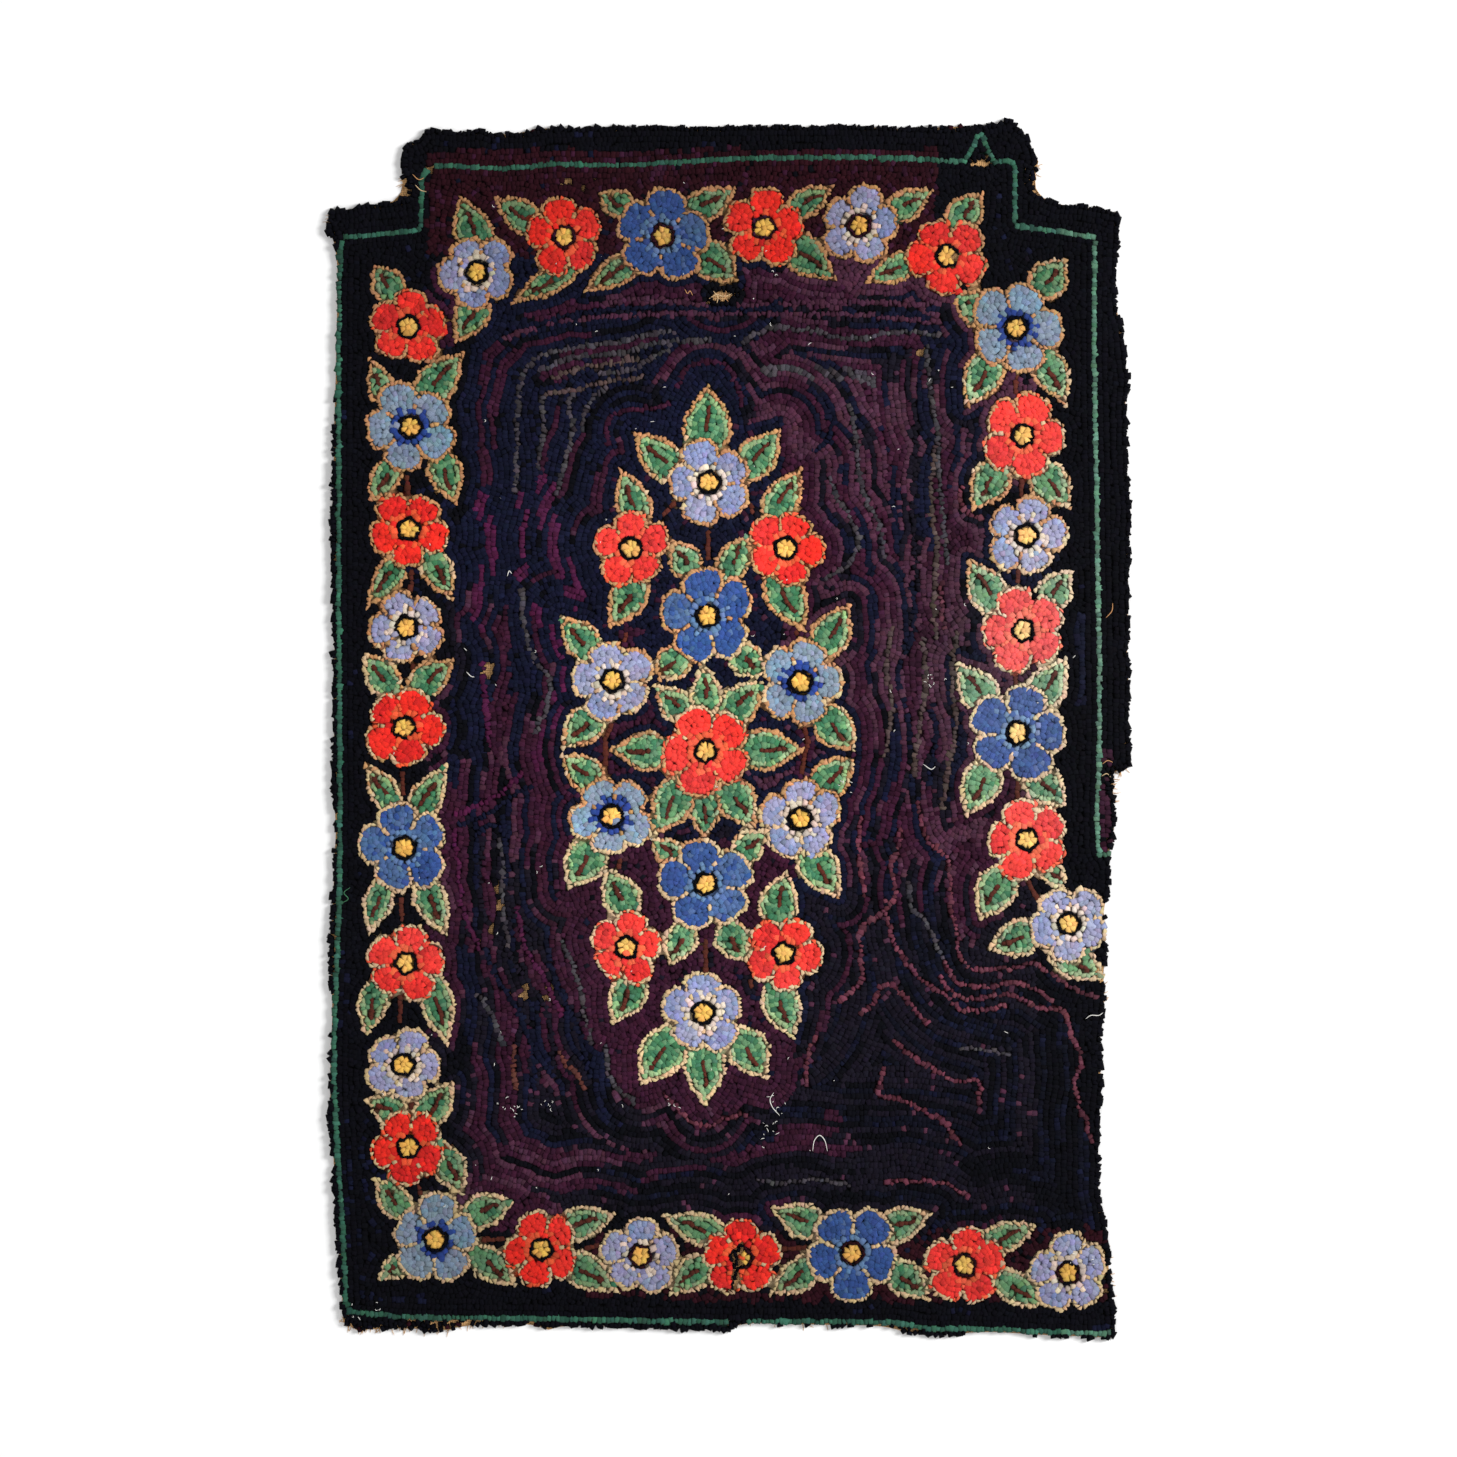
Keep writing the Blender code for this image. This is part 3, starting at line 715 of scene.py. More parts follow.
def guide_rows():
    """The rows that are hooked first."""
    guides = []

    def add(points, closed, group, yarn, stitch=OUTLINE_STITCH, length=OUTLINE_LENGTH,
            width=OUTLINE_WIDTH, ragged=1.0, taper=TOOTH):
        guides.append(Guide(points, closed, group, yarn, stitch, length, width, ragged, taper))

    for flower in FLOWERS:
        group = "centre" if flower in CENTRE_FLOWERS else "border"
        middle = flower_middle(flower)
        angles = np.linspace(-math.pi, math.pi, 240, endpoint=False)
        out = np.column_stack([np.cos(angles), np.sin(angles)])
        rim = middle + out * (flower_rim(flower, angles) - OUTLINE_INSET)[:, None]
        outline_width = OUTLINE_WIDTH * (0.8 if flower.kind == "red" else 1)
        add(rim, True, group, "tan", width=outline_width, ragged=1.6)
        axes = np.radians(flower.turn + 72 * np.arange(5))
        for axis in axes:
            between = axis + math.radians(36)
            way = np.array([math.cos(between), math.sin(between)])
            rim_at = float(flower_rim(flower, np.array([between]))[0])
            start = DIVIDER_START * flower.reach
            divider = middle + np.outer(np.linspace(start, rim_at - OUTLINE_INSET - 3.0, 12), way)
            inner = 6 if flower.kind == "red" else 0
            add(divider[inner:], False, group, "tan", 4.7, 5.8, 4.4, 0.6, 0)
            if inner:
                add(divider[:inner + 1], False, group, "coral", 4.7, 5.8, 5.0, 0.6, 0)
        for radius, yarn, stitch, width, taper in (
            (HEART_RING, "yellow", 6.2, 9.4, -0.3), (BLACK_RING, "black", 4.6, 3.4, 0),
        ):
            wavy = radius + 0.9 * np.sin(5 * angles + flower.across)
            add(middle + out * wavy[:, None], True, group, yarn, stitch, 6.4, width, 0.6, taper)
        ring = KINDS[flower.kind]["ring"]
        if ring:
            turns = (np.arange(SPIKES) + RANDOM.uniform(-0.2, 0.2, SPIKES)) / SPIKES
            for axis in 2 * math.pi * turns:
                way = np.array([math.cos(axis), math.sin(axis)])
                spike = middle + np.outer([SPIKE_FROM, RANDOM.uniform(*SPIKE_TO)], way)
                add(spike, False, group, ring, 5.0, 6.8, 7.2, 0.8, 0)
    for index, leaf in enumerate(LEAVES):
        group = "centre" if leaf in CENTRE_LEAVES else "border"
        rim = leaf_outline(leaf, OUTLINE_INSET)
        covered = np.zeros(len(rim), bool)
        for flower in FLOWERS:
            covered |= in_flower(flower, rim, -1.5)
        for other in LEAVES[:index]:
            covered |= in_leaf(other, rim, 1.0)
        for run in open_runs(rim, ~covered):
            add(run, False, group, "tan", ragged=1.6)
        tip, along, length = leaf_axes(leaf)
        shares = np.linspace(0.27, 0.58, 24)
        vein = tip + np.outer(shares * length, along)
        bend = 1.6 * np.sin(shares * 9 + leaf.tip_across)
        vein = vein + bend[:, None] * np.array([-along[1], along[0]])
        covered = np.zeros(len(vein), bool)
        for flower in FLOWERS:
            covered |= in_flower(flower, vein, -3.0)
        for run in open_runs(vein, ~covered):
            add(run, False, group, "brown", 4.8, 6.4, 5.0, 0.6, 0)
        ring = leaf_outline(leaf, OUTLINE_INSET + LEAF_RING)
        covered = np.zeros(len(ring), bool)
        for flower in FLOWERS:
            covered |= in_flower(flower, ring, -1.0)
        for other in LEAVES[:index]:
            covered |= in_leaf(other, ring, 0.0)
        for run in open_runs(ring, ~covered):
            add(run, False, group, "light_green", 4.7, 6.4, 5.8, 1.3, 0.4)
    for stem in STEMS:
        ends = to_frame([stem[:2], stem[2:]])
        row = ends[0] + np.outer(np.linspace(0, 1, 30), ends[1] - ends[0])
        add(row, False, "line", "brown", 5.2, 7.0, 6.0, 0.5, 0)
    for line in BORDER_LINES:
        add(smooth_line(line), False, "line", "teal", 5.2, 6.8, BORDER_LINE_WIDTH, 0.8, 0)
    return guides


EDGE_ROW = 3.1
MASK = inside_mask(PILE_RIMS)
RIM_SAMPLES = np.vstack([even_steps(rim, 0.8, closed=True)[0] for rim in PILE_RIMS])
EDGE_GAP, _ = nearest_sample(RIM_SAMPLES)
EDGE_GAP = np.where(MASK, EDGE_GAP, -EDGE_GAP)


def edge_rows():
    """One row all along the pile's edge and round each bare patch."""
    everywhere = np.ones_like(MASK)
    lines = level_lines(everywhere, EDGE_GAP / EDGE_ROW)
    return [
        Guide(softened(points, closed), closed, "edge", "ground", 5.2, 6.6, 8.0, 1.2, 0.3)
        for level, points, closed in lines if level == 1
    ]


def stripe_rows():
    """The single rows of one wool that wander through the ground."""
    return [
        Guide(smooth_line(stripe.points), False, "line", stripe.wool,
              5.3, 6.6, stripe.width + STRIPE_OVERLAP, 1.5, 0)
        for stripe in STRIPES if stripe.width <= WIDEST_ROW
    ]


Loops = namedtuple("Loops", "places turns lengths widths tapers yarns rows groups")


def guide_loops(guides):
    """The loops of the guide rows."""
    parts = []
    for guide in guides:
        places, turns = even_steps(guide.points, guide.stitch, guide.closed)
        count = len(places)
        sideways = guide.ragged * RANDOM.uniform(-1, 1, count)
        places += sideways[:, None] * np.column_stack([-np.sin(turns), np.cos(turns)])
        turns += guide.ragged * RANDOM.normal(0, 0.25, count)
        stretch = 1 + guide.ragged * RANDOM.uniform(-0.25, 0.25, (2, count))
        parts.append(Loops(
            places, turns, guide.length * stretch[0], guide.width * stretch[1],
            np.full(count, guide.taper), [guide.yarn] * count, np.zeros(count),
            [guide.group] * count,
        ))
    for flower in FLOWERS:
        heart = ([flower_middle(flower)], [0.3], [7], [7], [0], ["yellow"], [0], ["centre"])
        parts.append(Loops(*(np.array(value) for value in heart)))
    return together(parts)


def together(parts):
    """Several sets of loops as one."""
    return Loops(*(np.concatenate(column) for column in zip(*parts)))


def chosen_loops(loops, keep):
    """The loops that a mask or a list of indices picks."""
    return Loops(*(column[keep] for column in loops))


def thinned(loops, taken=None, least=LEAST_GAP):
    """The loops that stand clear of those before them."""
    buckets = {} if taken is None else taken
    kept = []
    for index, (x, y) in enumerate(loops.places):
        column, line = int(x // least), int(y // least)
        close = False
        for c in (column - 1, column, column + 1):
            for r in (line - 1, line, line + 1):
                for ox, oy in buckets.get((c, r), ()):
                    if (ox - x) ** 2 + (oy - y) ** 2 < least**2:
                        close = True
        if not close:
            buckets.setdefault((column, line), []).append((x, y))
            kept.append(index)
    return chosen_loops(loops, kept), buckets


def centre_limit():
    """How far out the rows echo the centre group: only a little way at the lower right."""
    x = GRID_X + TABLE_MIDDLE[0]
    y = GRID_Y + TABLE_MIDDLE[1]
    return CENTRE_REACH + 4 * np.maximum(0, np.maximum(60 - x, y + 130))


def fill_rows(guides):
    """Rows that echo the guide rows, over all of the pile."""
    gaps = []
    for centre in (True, False):
        rows = [g for g in guides if (g.group == "centre") == centre]
        samples = [even_steps(g.points, 0.9, g.closed)[0] for g in rows]
        gaps.append(nearest_sample(np.vstack(samples))[0])
    by_centre = gaps[0] < np.minimum(gaps[1], centre_limit())
    gap = np.where(by_centre, gaps[0], gaps[1])
    cells = np.column_stack([GRID_X.ravel(), GRID_Y.ravel()])
    coarse = cells.reshape(LINES, COLUMNS, 2)[::8, ::8]
    wander = drift(coarse.reshape(-1, 2), 55, 3.0) * 2.6
    wander = wander.reshape(coarse.shape[:2]).repeat(8, 0).repeat(8, 1)[:LINES, :COLUMNS]
    for _ in range(8):
        wander = (wander + np.roll(wander, 2, 0) + np.roll(wander, -2, 0)
                  + np.roll(wander, 2, 1) + np.roll(wander, -2, 1)) / 5
    wandering = gap + wander * clipped((gap - 6) / 24)
    levels = (wandering - FIRST_ROW) / ROW + 1
    pile = EDGE_GAP > 2.0
    parts = []
    for group, mask in (("centre", pile & by_centre), ("border", pile & ~by_centre)):
        for level, points, closed in level_lines(mask, levels):
            if len(points) < 4:
                continue
            points = softened(points, closed)
            places, turns = even_steps(points, STITCH * RANDOM.uniform(0.96, 1.06), closed)
            count = len(places)
            parts.append(Loops(
                places, turns, np.full(count, LOOP_LENGTH), np.full(count, LOOP_WIDTH),
                np.zeros(count), ["ground"] * count, np.full(count, level), [group] * count,
            ))
    return together(parts), levels, np.where(by_centre, GROUPS.index("centre"), GROUPS.index("border"))


def hole_loops(loops, levels, group, taken):
    """Loops in the spots that the rows leave open."""
    open_gap, near = nearest_sample(loops.places)
    rows, columns = np.nonzero((open_gap > HOLE_GAP) & (EDGE_GAP > 2.6))
    order = np.argsort(-open_gap[rows, columns], kind="stable")
    rows, columns = rows[order], columns[order]
    places = np.column_stack([LOW[0] + columns, LOW[1] + rows]).astype(float)
    count = len(places)
    found = Loops(
        places, loops.turns[near[rows, columns]], np.full(count, LOOP_LENGTH),
        np.full(count, LOOP_WIDTH), np.zeros(count), np.array(["ground"] * count),
        np.round(levels[rows, columns]), np.array(GROUPS)[group[rows, columns]],
    )
    found, _ = thinned(found, taken, HOLE_GAP)
    return found


TUFT_GAP = 4.6
TUFT_SHARE = 0.74
TUFT_YARNS = ("black", "black", "black", "black", "ink", "charcoal", "wine", "black")
# The slit in the pile, whose black loops stand partly for dark wool and partly for painted shade: its
# middle across and up, its reach, then its loops' turn
SLIT = (7, -616, 20)
SLIT_TURN = math.radians(98)


def edge_tufts(taken):
    """Ragged dark loops left on the worn strip of burlap outside the pile, and black loops in the
    slit, partly its dark wool and partly painted shade.
    """
    middle = to_frame([SLIT[:2]])[0]
    away = np.hypot(GRID_X - middle[0], (GRID_Y - middle[1]) * 0.6)
    worn = inside_mask([BURLAP_RIM]) & (EDGE_GAP < -0.8) & (EDGE_GAP > -14)
    inner = inside_mask([PILE_RIMS[0]])
    worn &= ~inner | (away < SLIT[2])
    rows, columns = np.nonzero(worn)
    order = RANDOM.permutation(len(rows))
    places = np.column_stack([LOW[0] + columns, LOW[1] + rows]).astype(float)[order]
    count = len(places)
    in_slit = at_points(away, places) < SLIT[2]
    # Loops in the slit are black and narrower: partly its dark wool, partly painted shade in it
    tufts = Loops(
        places, np.where(in_slit, SLIT_TURN, RANDOM.uniform(0, math.pi, count)),
        RANDOM.uniform(5, 8, count), RANDOM.uniform(4.5, 7, count) * np.where(in_slit, 0.7, 1),
        np.zeros(count), np.where(in_slit, "black", RANDOM.choice(TUFT_YARNS, count)),
        np.zeros(count), np.array(["edge"] * count),
    )
    tufts, _ = thinned(tufts, taken, TUFT_GAP)
    kept = RANDOM.random(len(tufts.places)) < TUFT_SHARE
    kept |= at_points(away, tufts.places) < SLIT[2]
    return chosen_loops(tufts, kept)


# Colours

def motif_yarns(loops):
    """Yarn of every loop that stands within a flower or a leaf."""
    yarns = loops.yarns.astype("U12")
    free = yarns == "ground"
    patchy = RANDOM.random(len(yarns))
    for leaf in LEAVES:
        within = in_leaf(leaf, loops.places, 1.0)
        held = free & within
        ring = within & (yarns == "light_green")
        pale = leaf.tip_across > 250 and leaf.tip_up < 480 or leaf.tip_up < -500
        yarns[held] = "green"
        yarns[held & (patchy < (0.75 if pale else 0.4))] = "mid_green"
        yarns[ring & (patchy < 0.1)] = "mid_green"
        yarns[ring & (patchy > (0.3 if pale else 0.85))] = "pale_green"
        loops.widths[held] *= LEAF_SCALE
        loops.lengths[held] *= LEAF_SCALE
    for flower in FLOWERS:
        held = free & in_flower(flower, loops.places, 0.5)
        away = np.linalg.norm(loops.places - flower_middle(flower), axis=1)
        yarns[held] = KINDS[flower.kind]["fill"]
        loops.widths[held] *= PETAL_SCALE
        loops.lengths[held] *= PETAL_SCALE
        offset = loops.places - flower_middle(flower)
        angle = np.arctan2(offset[:, 1], offset[:, 0]) - math.radians(flower.turn)
        petal = np.round(angle / math.radians(72)).astype(int) % 5
        mottled = (RANDOM.random(5) < 0.3)[petal] & (patchy < 0.8)
        yarns[held & (mottled | (patchy < 0.08))] = KINDS[flower.kind]["other"]
        near = held & (away < flower.reach * (0.4 + 0.24 * (patchy - 0.5)))
        yarns[near] = KINDS[flower.kind]["near"]
    return yarns


def blended(places, anchors):
    """The anchors' values at each place, the nearest ones counting most."""
    centres = to_frame([a[:2] for a in anchors])
    reaches = np.array([a.reach for a in anchors])
    away = np.linalg.norm(places[:, None] - centres[None], axis=2) / reaches
    weight = np.exp(-away**2) + 1e-9
    return weight @ np.array([a[3:] for a in anchors]) / weight.sum(axis=1)[:, None]


def ground_yarns(loops, yarns):
    """Yarn of every loop of the ground: strips of like colours run along and beside each other."""
    spots = np.nonzero(yarns == "ground")[0]
    places = loops.places[spots]
    rows = loops.rows[spots]
    shares = blended(places, GROUND_PLACES)
    shares /= shares.sum(axis=1)[:, None]
    group = np.array([GROUPS.index(g) for g in loops.groups[spots]])
    raw = np.array([
        noise.noise((x / 190, y / 190, r * 0.55 + 19 * g))
        + 0.26 * noise.noise((x / 90, y / 90, r * 1.3 + 7))
        for (x, y), r, g in zip(places, rows, group)
    ])
    rank = np.empty(len(raw))
    rank[np.argsort(raw)] = (np.arange(len(raw)) + 0.5) / len(raw)
    rank = clipped(rank + RANDOM.uniform(-0.008, 0.008, len(rank)))
    choice = (rank[:, None] > np.cumsum(shares, axis=1)).sum(axis=1)
    choice += RANDOM.random(len(choice)) < 0.04
    picked = np.array(GROUND_WOOLS, "U12")[np.minimum(choice, len(GROUND_WOOLS) - 1)]
    for echo in ECHOES:
        low, high = to_frame([(echo.left, echo.low), (echo.right, echo.high)])
        held = (group == GROUPS.index(echo.group)) & (rows >= echo.first) & (rows <= echo.last)
        held &= np.all((places > low) & (places < high), axis=1)
        held &= RANDOM.random(len(held)) < 0.93
        picked[held] = echo.wool
    for stripe in STRIPES:
        if stripe.width <= WIDEST_ROW:
            continue
        line, _ = even_steps(smooth_line(stripe.points), 2.0)
        reach = stripe.width / 2 + RANDOM.uniform(-0.5, 0.5, len(places))
        close = np.all((places > line.min(axis=0) - 20) & (places < line.max(axis=0) + 20), axis=1)
        away = np.linalg.norm(places[close][:, None] - line[None], axis=2).min(axis=1)
        close[close] = (away < reach[close]) & (rows[close] % 3 != 0)
        picked[close] = stripe.wool
    yarns[spots] = picked
    return yarns


def margin_yarns(loops, yarns):
    """Black outside the border line, and the patches of the ground that are of one wool."""
    places = loops.places + TABLE_MIDDLE
    x, y = places[:, 0], places[:, 1]
    dark = np.isin(yarns, (*GROUND_WOOLS, "grey", "magenta"))
    edge = at_points(EDGE_GAP, loops.places)
    yarns[dark & (edge < 9)] = "black"
    outer = dark & ((x < -350) | (x > 352) | (y < -575) | (y > 560))
    bright = outer & np.isin(yarns, ("magenta", "grey", "charcoal", "plum", "maroon"))
    blackish = drift(loops.places, 60, 4.0) > -0.35
    yarns[bright] = np.where(blackish[bright], "black", "navy")
    uneven = np.column_stack([drift(places, 22, 6.0), drift(places, 22, 9.0)]) * 7
    rough_x, rough_y = (places + uneven).T
    for patch in PATCHES:
        held = dark & (edge > 4) & np.isin(yarns, patch.old.split())
        held &= (rough_x > patch.left) & (rough_x < patch.right)
        held &= (rough_y > patch.low) & (rough_y < patch.high)
        yarns[held & (RANDOM.random(len(x)) < patch.share)] = patch.new
    yarns[(yarns == "teal") & (x > 380)] = "sage"
    return yarns


def outline_yarns(loops, yarns):
    """Outlines in two tans: warmer towards the top and left, paler below and to the right."""
    places = loops.places + TABLE_MIDDLE
    lean = 0.5 - places[:, 1] / 500 + np.maximum(0, places[:, 0] - 150) / 260
    lean += 1.1 * drift(places, 140, 11.0) + RANDOM.uniform(-0.25, 0.25, len(places))
    yarns[(yarns == "tan") & (lean > 0.5)] = "bisque"
    outlines = np.isin(yarns, ("tan", "bisque")) & (RANDOM.random(len(yarns)) < 0.22)
    for flower in FLOWERS:
        if flower.kind == "red":
            held = outlines & in_flower(flower, loops.places, -2.0)
            yarns[held] = "coral"
    return yarns


PALE_FADING = 1.6


def loop_colours(loops, yarns):
    """Linear colour of each loop: its yarn, faded and dyed a little unevenly."""
    base = np.array([linear(y) for y in yarns])
    tone = 1 + 0.11 * RANDOM.standard_normal(len(yarns))
    tone *= 1 + 0.16 * drift(loops.places, 70, 5.0) + 0.1 * drift(loops.places, 18, 8.0)
    for yarn, low, high in FLECKS:
        flecked = yarns == yarn
        tone[flecked] *= RANDOM.uniform(low, high, flecked.sum())
    strength, greying = blended(loops.places, FADES).T
    pale = np.isin(yarns, ("light_green", "pale_green"))
    strength = np.where(pale, strength**PALE_FADING, strength)
    ground = np.array([YARN_SLOTS[y] for y in yarns]) == "wool_ground"
    tone *= np.where(ground, np.sqrt(strength) * RANDOM.uniform(0.78, 1.2, len(tone)), strength)
    grey = base.mean(axis=1, keepdims=True)
    fade = clipped(greying + 0.09 * drift(loops.places, 160, 2.0), 0, 0.25)[:, None]
    tint = 1 + 0.05 * RANDOM.standard_normal((len(yarns), 3))
    return clipped((base * (1 - fade) + grey * fade) * clipped(tone, 0.4, 1.5)[:, None] * tint)


# Materials

def new_material(name):
    material = bpy.data.materials.new(name)
    material.use_nodes = True
    return material, material.node_tree


def add_node(tree, kind, **values):
    """A node with its settings and input values."""
    node = tree.nodes.new(kind)
    for key, value in values.items():
        if key in node.inputs:
            node.inputs[key].default_value = value
        else:
            setattr(node, key, value)
    return node


def mapped(tree, source, low, high, from_low=0.0, from_high=1.0):
    """A node that maps an output's range to another one."""
    node = add_node(tree, "ShaderNodeMapRange")
    for key, value in (("From Min", from_low), ("From Max", from_high), ("To Min", low),
                       ("To Max", high)):
        node.inputs[key].default_value = value
    tree.links.new(source, node.inputs["Value"])
    return node.outputs["Result"]


def wool_material(name, bump, sheen):
    """Hand-cut wool strips: colour from the loop's yarn attribute, with the painted shade that some
    pieces put in it, streaked by fibres along the strip.
    """
    material, tree = new_material(name)
    shader = tree.nodes["Principled BSDF"]
    # The yarn attribute is the wool's colour together with any painted shade that the piece put in it
    yarn = add_node(tree, "ShaderNodeAttribute", attribute_name="yarn")
    strip = add_node(tree, "ShaderNodeAttribute", attribute_name="strip")
    stretch = add_node(tree, "ShaderNodeVectorMath", operation="MULTIPLY")
    stretch.inputs[1].default_value = (0.55, 2.6, 1.0)
    tree.links.new(strip.outputs["Vector"], stretch.inputs[0])
    fibres = add_node(tree, "ShaderNodeTexNoise", Scale=1.1, Detail=4.0, Roughness=0.62)
    tree.links.new(stretch.outputs["Vector"], fibres.inputs["Vector"])
    felt = add_node(tree, "ShaderNodeTexNoise", Scale=3.4, Detail=3.0, Roughness=0.7)
    tree.links.new(strip.outputs["Vector"], felt.inputs["Vector"])
    streaks = mapped(tree, fibres.outputs["Fac"], 0.72, 1.26, 0.3, 0.7)
    shade = add_node(tree, "ShaderNodeVectorMath", operation="SCALE")
    tree.links.new(yarn.outputs["Color"], shade.inputs[0])
    tree.links.new(streaks, shade.inputs["Scale"])
    tree.links.new(shade.outputs["Vector"], shader.inputs["Base Color"])
    both = add_node(tree, "ShaderNodeMath", operation="ADD")
    tree.links.new(fibres.outputs["Fac"], both.inputs[0])
    tree.links.new(felt.outputs["Fac"], both.inputs[1])
    relief = add_node(tree, "ShaderNodeBump", Strength=bump, Distance=0.5 * MM)
    tree.links.new(both.outputs["Value"], relief.inputs["Height"])
    tree.links.new(relief.outputs["Normal"], shader.inputs["Normal"])
    rough = mapped(tree, felt.outputs["Fac"], 0.8, 0.98)
    tree.links.new(rough, shader.inputs["Roughness"])
    shader.inputs["Sheen Weight"].default_value = sheen
    shader.inputs["Sheen Roughness"].default_value = 0.5
    shader.inputs["Specular IOR Level"].default_value = 0.04
    return material


def burlap_material():
    """Coarse plain-woven jute: two crossing sets of threads, uneven and soiled, with painted shade
    between the threads.
    """
    material, tree = new_material("burlap_weave")
    shader = tree.nodes["Principled BSDF"]
    place = add_node(tree, "ShaderNodeTexCoord")
    waves = []
    for direction in ("X", "Y"):
        wave = add_node(
            tree, "ShaderNodeTexWave", bands_direction=direction, Scale=150.0,
            Distortion=1.4, Detail=2.0,
        )
        wave.inputs["Detail Scale"].default_value = 1.6
        tree.links.new(place.outputs["Object"], wave.inputs["Vector"])
        waves.append(wave)
    weave = add_node(tree, "ShaderNodeMath", operation="MAXIMUM")
    for index, wave in enumerate(waves):
        tree.links.new(wave.outputs["Fac"], weave.inputs[index])
    soil = add_node(tree, "ShaderNodeTexNoise", Scale=60.0, Detail=5.0, Roughness=0.6)
    tree.links.new(place.outputs["Object"], soil.inputs["Vector"])
    # Painted shade: where neither set of threads lies, the colour drops to 0.28 of the burlap's, for
    # the shade between the threads
    ramp = add_node(tree, "ShaderNodeValToRGB")
    ramp.color_ramp.elements[0].color = (*(0.28 * linear("burlap")), 1)
    ramp.color_ramp.elements[1].color = (*(1.05 * linear("burlap")), 1)
    ramp.color_ramp.elements[0].position = 0.15
    ramp.color_ramp.elements[1].position = 0.85
    tree.links.new(weave.outputs["Value"], ramp.inputs["Fac"])
    dirty = mapped(tree, soil.outputs["Fac"], 0.72, 1.15, 0.3, 0.75)
    tone = add_node(tree, "ShaderNodeVectorMath", operation="SCALE")
    tree.links.new(ramp.outputs["Color"], tone.inputs[0])
    tree.links.new(dirty, tone.inputs["Scale"])
    tree.links.new(tone.outputs["Vector"], shader.inputs["Base Color"])
    relief = add_node(tree, "ShaderNodeBump", Strength=0.8, Distance=0.6 * MM)
    tree.links.new(weave.outputs["Value"], relief.inputs["Height"])
    tree.links.new(relief.outputs["Normal"], shader.inputs["Normal"])
    shader.inputs["Roughness"].default_value = 0.93
    shader.inputs["Specular IOR Level"].default_value = 0.2
    return material


def floor_material():
    material, tree = new_material("pale_floor")
    shader = tree.nodes["Principled BSDF"]
    shader.inputs["Base Color"].default_value = (0.7, 0.7, 0.7, 1)
    shader.inputs["Roughness"].default_value = 0.7
    return material


# Meshes

SPAN = BURLAP_RIM.max(axis=0) - BURLAP_RIM.min(axis=0)
SPAN_LOW = BURLAP_RIM.min(axis=0)


def new_piece(name, verts, faces, material, colours=None, strips=None, smooth=True):
    """A mesh piece from arrays in millimetres, with its bake map, riding on the rug."""
    mesh = bpy.data.meshes.new(name)
    mesh.from_pydata(np.asarray(verts) * MM, [], faces)
    if smooth:
        mesh.shade_smooth()
    else:
        mesh.shade_flat()
    corner_of = np.empty(len(mesh.loops), np.int32)
    mesh.loops.foreach_get("vertex_index", corner_of)
    flat = (np.asarray(verts)[:, :2] - SPAN_LOW) / SPAN.max()
    chart = mesh.uv_layers.new(name="OFBake")
    chart.data.foreach_set("uv", flat[corner_of].astype(np.float32).ravel())
    if colours is not None:
        # The yarn attribute holds each vertex's colour, including the painted shade of loop rims,
        # packed wool and back runs
        layer = mesh.attributes.new("yarn", "FLOAT_COLOR", "POINT")
        full = np.column_stack([colours, np.ones(len(colours))]).astype(np.float32)
        layer.data.foreach_set("color", full.ravel())
    if strips is not None:
        layer = mesh.attributes.new("strip", "FLOAT_VECTOR", "POINT")
        layer.data.foreach_set("vector", np.asarray(strips, np.float32).ravel())
    mesh.materials.append(material)
    piece = bpy.data.objects.new(name, mesh)
    bpy.context.scene.collection.objects.link(piece)
    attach(piece, "root")
    return piece


def pile_top(places):
    """Height of the walked-on pile at each place: its swells, rolled down at the edge."""
    metres = places * MM
    swell = sum(
        size * np.array([noise.noise((x / (span * MM), y / (span * MM), 0)) for x, y in metres])
        for size, span in SWELLS
    )
    share = clipped(at_points(EDGE_GAP, places) / RIM_WIDTH)
    return PILE_TOP + swell - RIM_DROP * (1 - np.sqrt(1 - (1 - share) ** 2))


# One loop seen from above: four columns along the row by four across it, then its height
ALONG_ROW = np.array([-1.0, -0.58, 0.58, 1.0])
ACROSS_ROW = np.array([-1.0, -0.56, 0.56, 1.0])
TEMPLATE_U, TEMPLATE_V = (a.ravel() for a in np.meshgrid(ALONG_ROW, ACROSS_ROW))
TEMPLATE_RIM = (np.abs(TEMPLATE_U) == 1) | (np.abs(TEMPLATE_V) == 1)
TEMPLATE_CORNER = (np.abs(TEMPLATE_U) == 1) & (np.abs(TEMPLATE_V) == 1)
TEMPLATE_FACES = np.array([
    (r * 4 + c, r * 4 + c + 1, r * 4 + c + 5, r * 4 + c + 4) for r in range(3) for c in range(3)
])
# Painted shade: a loop's rim vertices take its colour darkened by a factor in these ranges, for the
# shade in the cracks between loops, deeper in the ground than in the motifs
GROUND_PAINTED_RIM_SHADES = (0.05, 0.45)
MOTIF_PAINTED_RIM_SHADES = (0.4, 0.86)
CORNER_PULLS = (0.78, 1.0)
GROUND_SHOULDERS = (1.8, 3.6)
MOTIF_SHOULDERS = (1.1, 2.4)
NARROW_LIFT = 0.1


